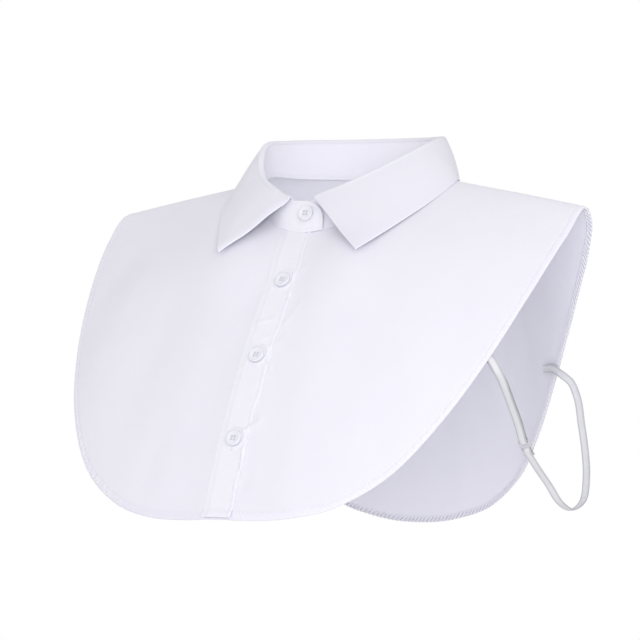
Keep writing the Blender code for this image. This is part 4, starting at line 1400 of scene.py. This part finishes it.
def make_surroundings():
    """A white room that gives an even light, two soft lights from the front, and a pale floor."""
    world = bpy.data.worlds.new("white room")
    world.use_nodes = True
    tree = world.node_tree
    shade = tree.nodes["Background"]
    shade.inputs["Color"].default_value = (1, 1, 1, 1)
    shade.inputs["Strength"].default_value = ROOM_LIGHT
    seen = tree.nodes.new("ShaderNodeBackground")
    seen.inputs["Color"].default_value = (1, 1, 1, 1)
    seen.inputs["Strength"].default_value = 1.0
    rays = tree.nodes.new("ShaderNodeLightPath")
    mix = tree.nodes.new("ShaderNodeMixShader")
    tree.links.new(rays.outputs["Is Camera Ray"], mix.inputs[0])
    tree.links.new(shade.outputs[0], mix.inputs[1])
    tree.links.new(seen.outputs[0], mix.inputs[2])
    tree.links.new(mix.outputs[0], tree.nodes["World Output"].inputs["Surface"])
    bpy.context.scene.world = world
    bpy.context.scene.view_settings.view_transform = "Standard"
    make_light("key", (2.1, -1.9, 0.5), (0, 0, -0.08), 1.2, KEY_POWER)
    make_light("front", (1.2, -2.45, 0.2), (0, 0, -0.08), 1.2, FRONT_POWER)
    bm = bmesh.new()
    bmesh.ops.create_circle(bm, cap_ends=True, segments=96, radius=FLOOR_RADIUS)
    for vertex in bm.verts:
        vertex.co.z = FLOOR_Z
    mesh = bpy.data.meshes.new("floor")
    bm.to_mesh(mesh)
    bm.free()
    floor = bpy.data.objects.new("floor", mesh)
    pale = Finish("pale floor", 0.9)
    pale.fixed(Base_Color=(0.86, 0.86, 0.87, 1.0), Specular_IOR_Level=0.1)
    mesh.materials.append(pale.material)
    bpy.context.scene.collection.objects.link(floor)


# The cut, flat: width and length in metres and the area where it isn't a rectangle
CUT_COLUMNS = ("width", "length", "area")


def main():
    make_camera()
    make_surroundings()
    # Copies of one cotton, each with its own tone: painted light on the stand, and painted shade on the right
    # front, the back and the collar leaf. The placket is whiter partly for its layers and partly as painted light
    shirting = cotton("white shirting", 0.00016, hem=HEM_WIDTH * METRE, has_painted_tick_shade=True)
    placket_cloth = cotton("placket cloth, layered and painted light", 0.00016, painted_tone=LAYERS_AND_PAINTED_LIGHT)
    shaded_right_front_cloth = cotton("right front cloth, painted shade", 0.00016, painted_tone=0.972, has_painted_tick_shade=True)
    back_cloth = cotton("back cloth, painted shade", 0.00016, painted_tone=0.99, has_painted_tick_shade=True)
    collar_cloth = cotton("white collar cloth", 0.00008, painted_tone=0.98)
    stand_cloth = cotton("stand cloth, painted light", 0.00008, painted_tone=1.05)
    sewing = thread()
    tape_finish = satin_tape()
    pearl = button_plastic()
    milky = slider_plastic()

    body_stitches = Stitches()
    front_left, lines_left = make_front("front_left_cloth", 1, -8.0, 0.6, shirting)
    front_right, lines_right = make_front("front_right_cloth", -1, -8.4, 2.9, shaded_right_front_cloth)
    back, lines_back = make_back(back_cloth)
    for outer, inner, normals in (lines_left, lines_right, lines_back):
        body_stitches.run(outer, normals)
        body_stitches.run(inner, -normals)
    body_stitches.done("hem_stitches", sewing)

    placket_stitches = Stitches()
    placket = make_placket(placket_cloth, placket_stitches)
    for z in PLACKET_BUTTON_Z:
        place, normal = placket_button_seat(z)
        make_buttonhole(place, normal, unit(np.cross(np.array([1.0, 0, 0]), normal)), placket_stitches)
    placket_stitches.done("placket_stitches", sewing)

    collar_stitches = Stitches()
    stand = make_stand(stand_cloth, collar_stitches)
    leaf = make_leaf(collar_cloth, collar_stitches)
    collar_stitches.done("collar_stitches", sewing)

    for piece, node in (
        (front_left, "front_left"),
        (front_right, "front_right"),
        (back, "back"),
        (placket, "placket"),
        (stand, "collar_stand"),
        (leaf, "collar_leaf"),
    ):
        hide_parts(node)

    make_button("shirt_button_1", "button_1", *front_button_seat(), pearl, sewing)
    for k, z in enumerate(PLACKET_BUTTON_Z):
        make_button(f"shirt_button_{k + 2}", f"button_{k + 2}", *placket_button_seat(z), pearl, sewing)
    make_strap("left", False, tape_finish, milky, sewing)
    make_strap("right", True, tape_finish, milky, sewing)


main()
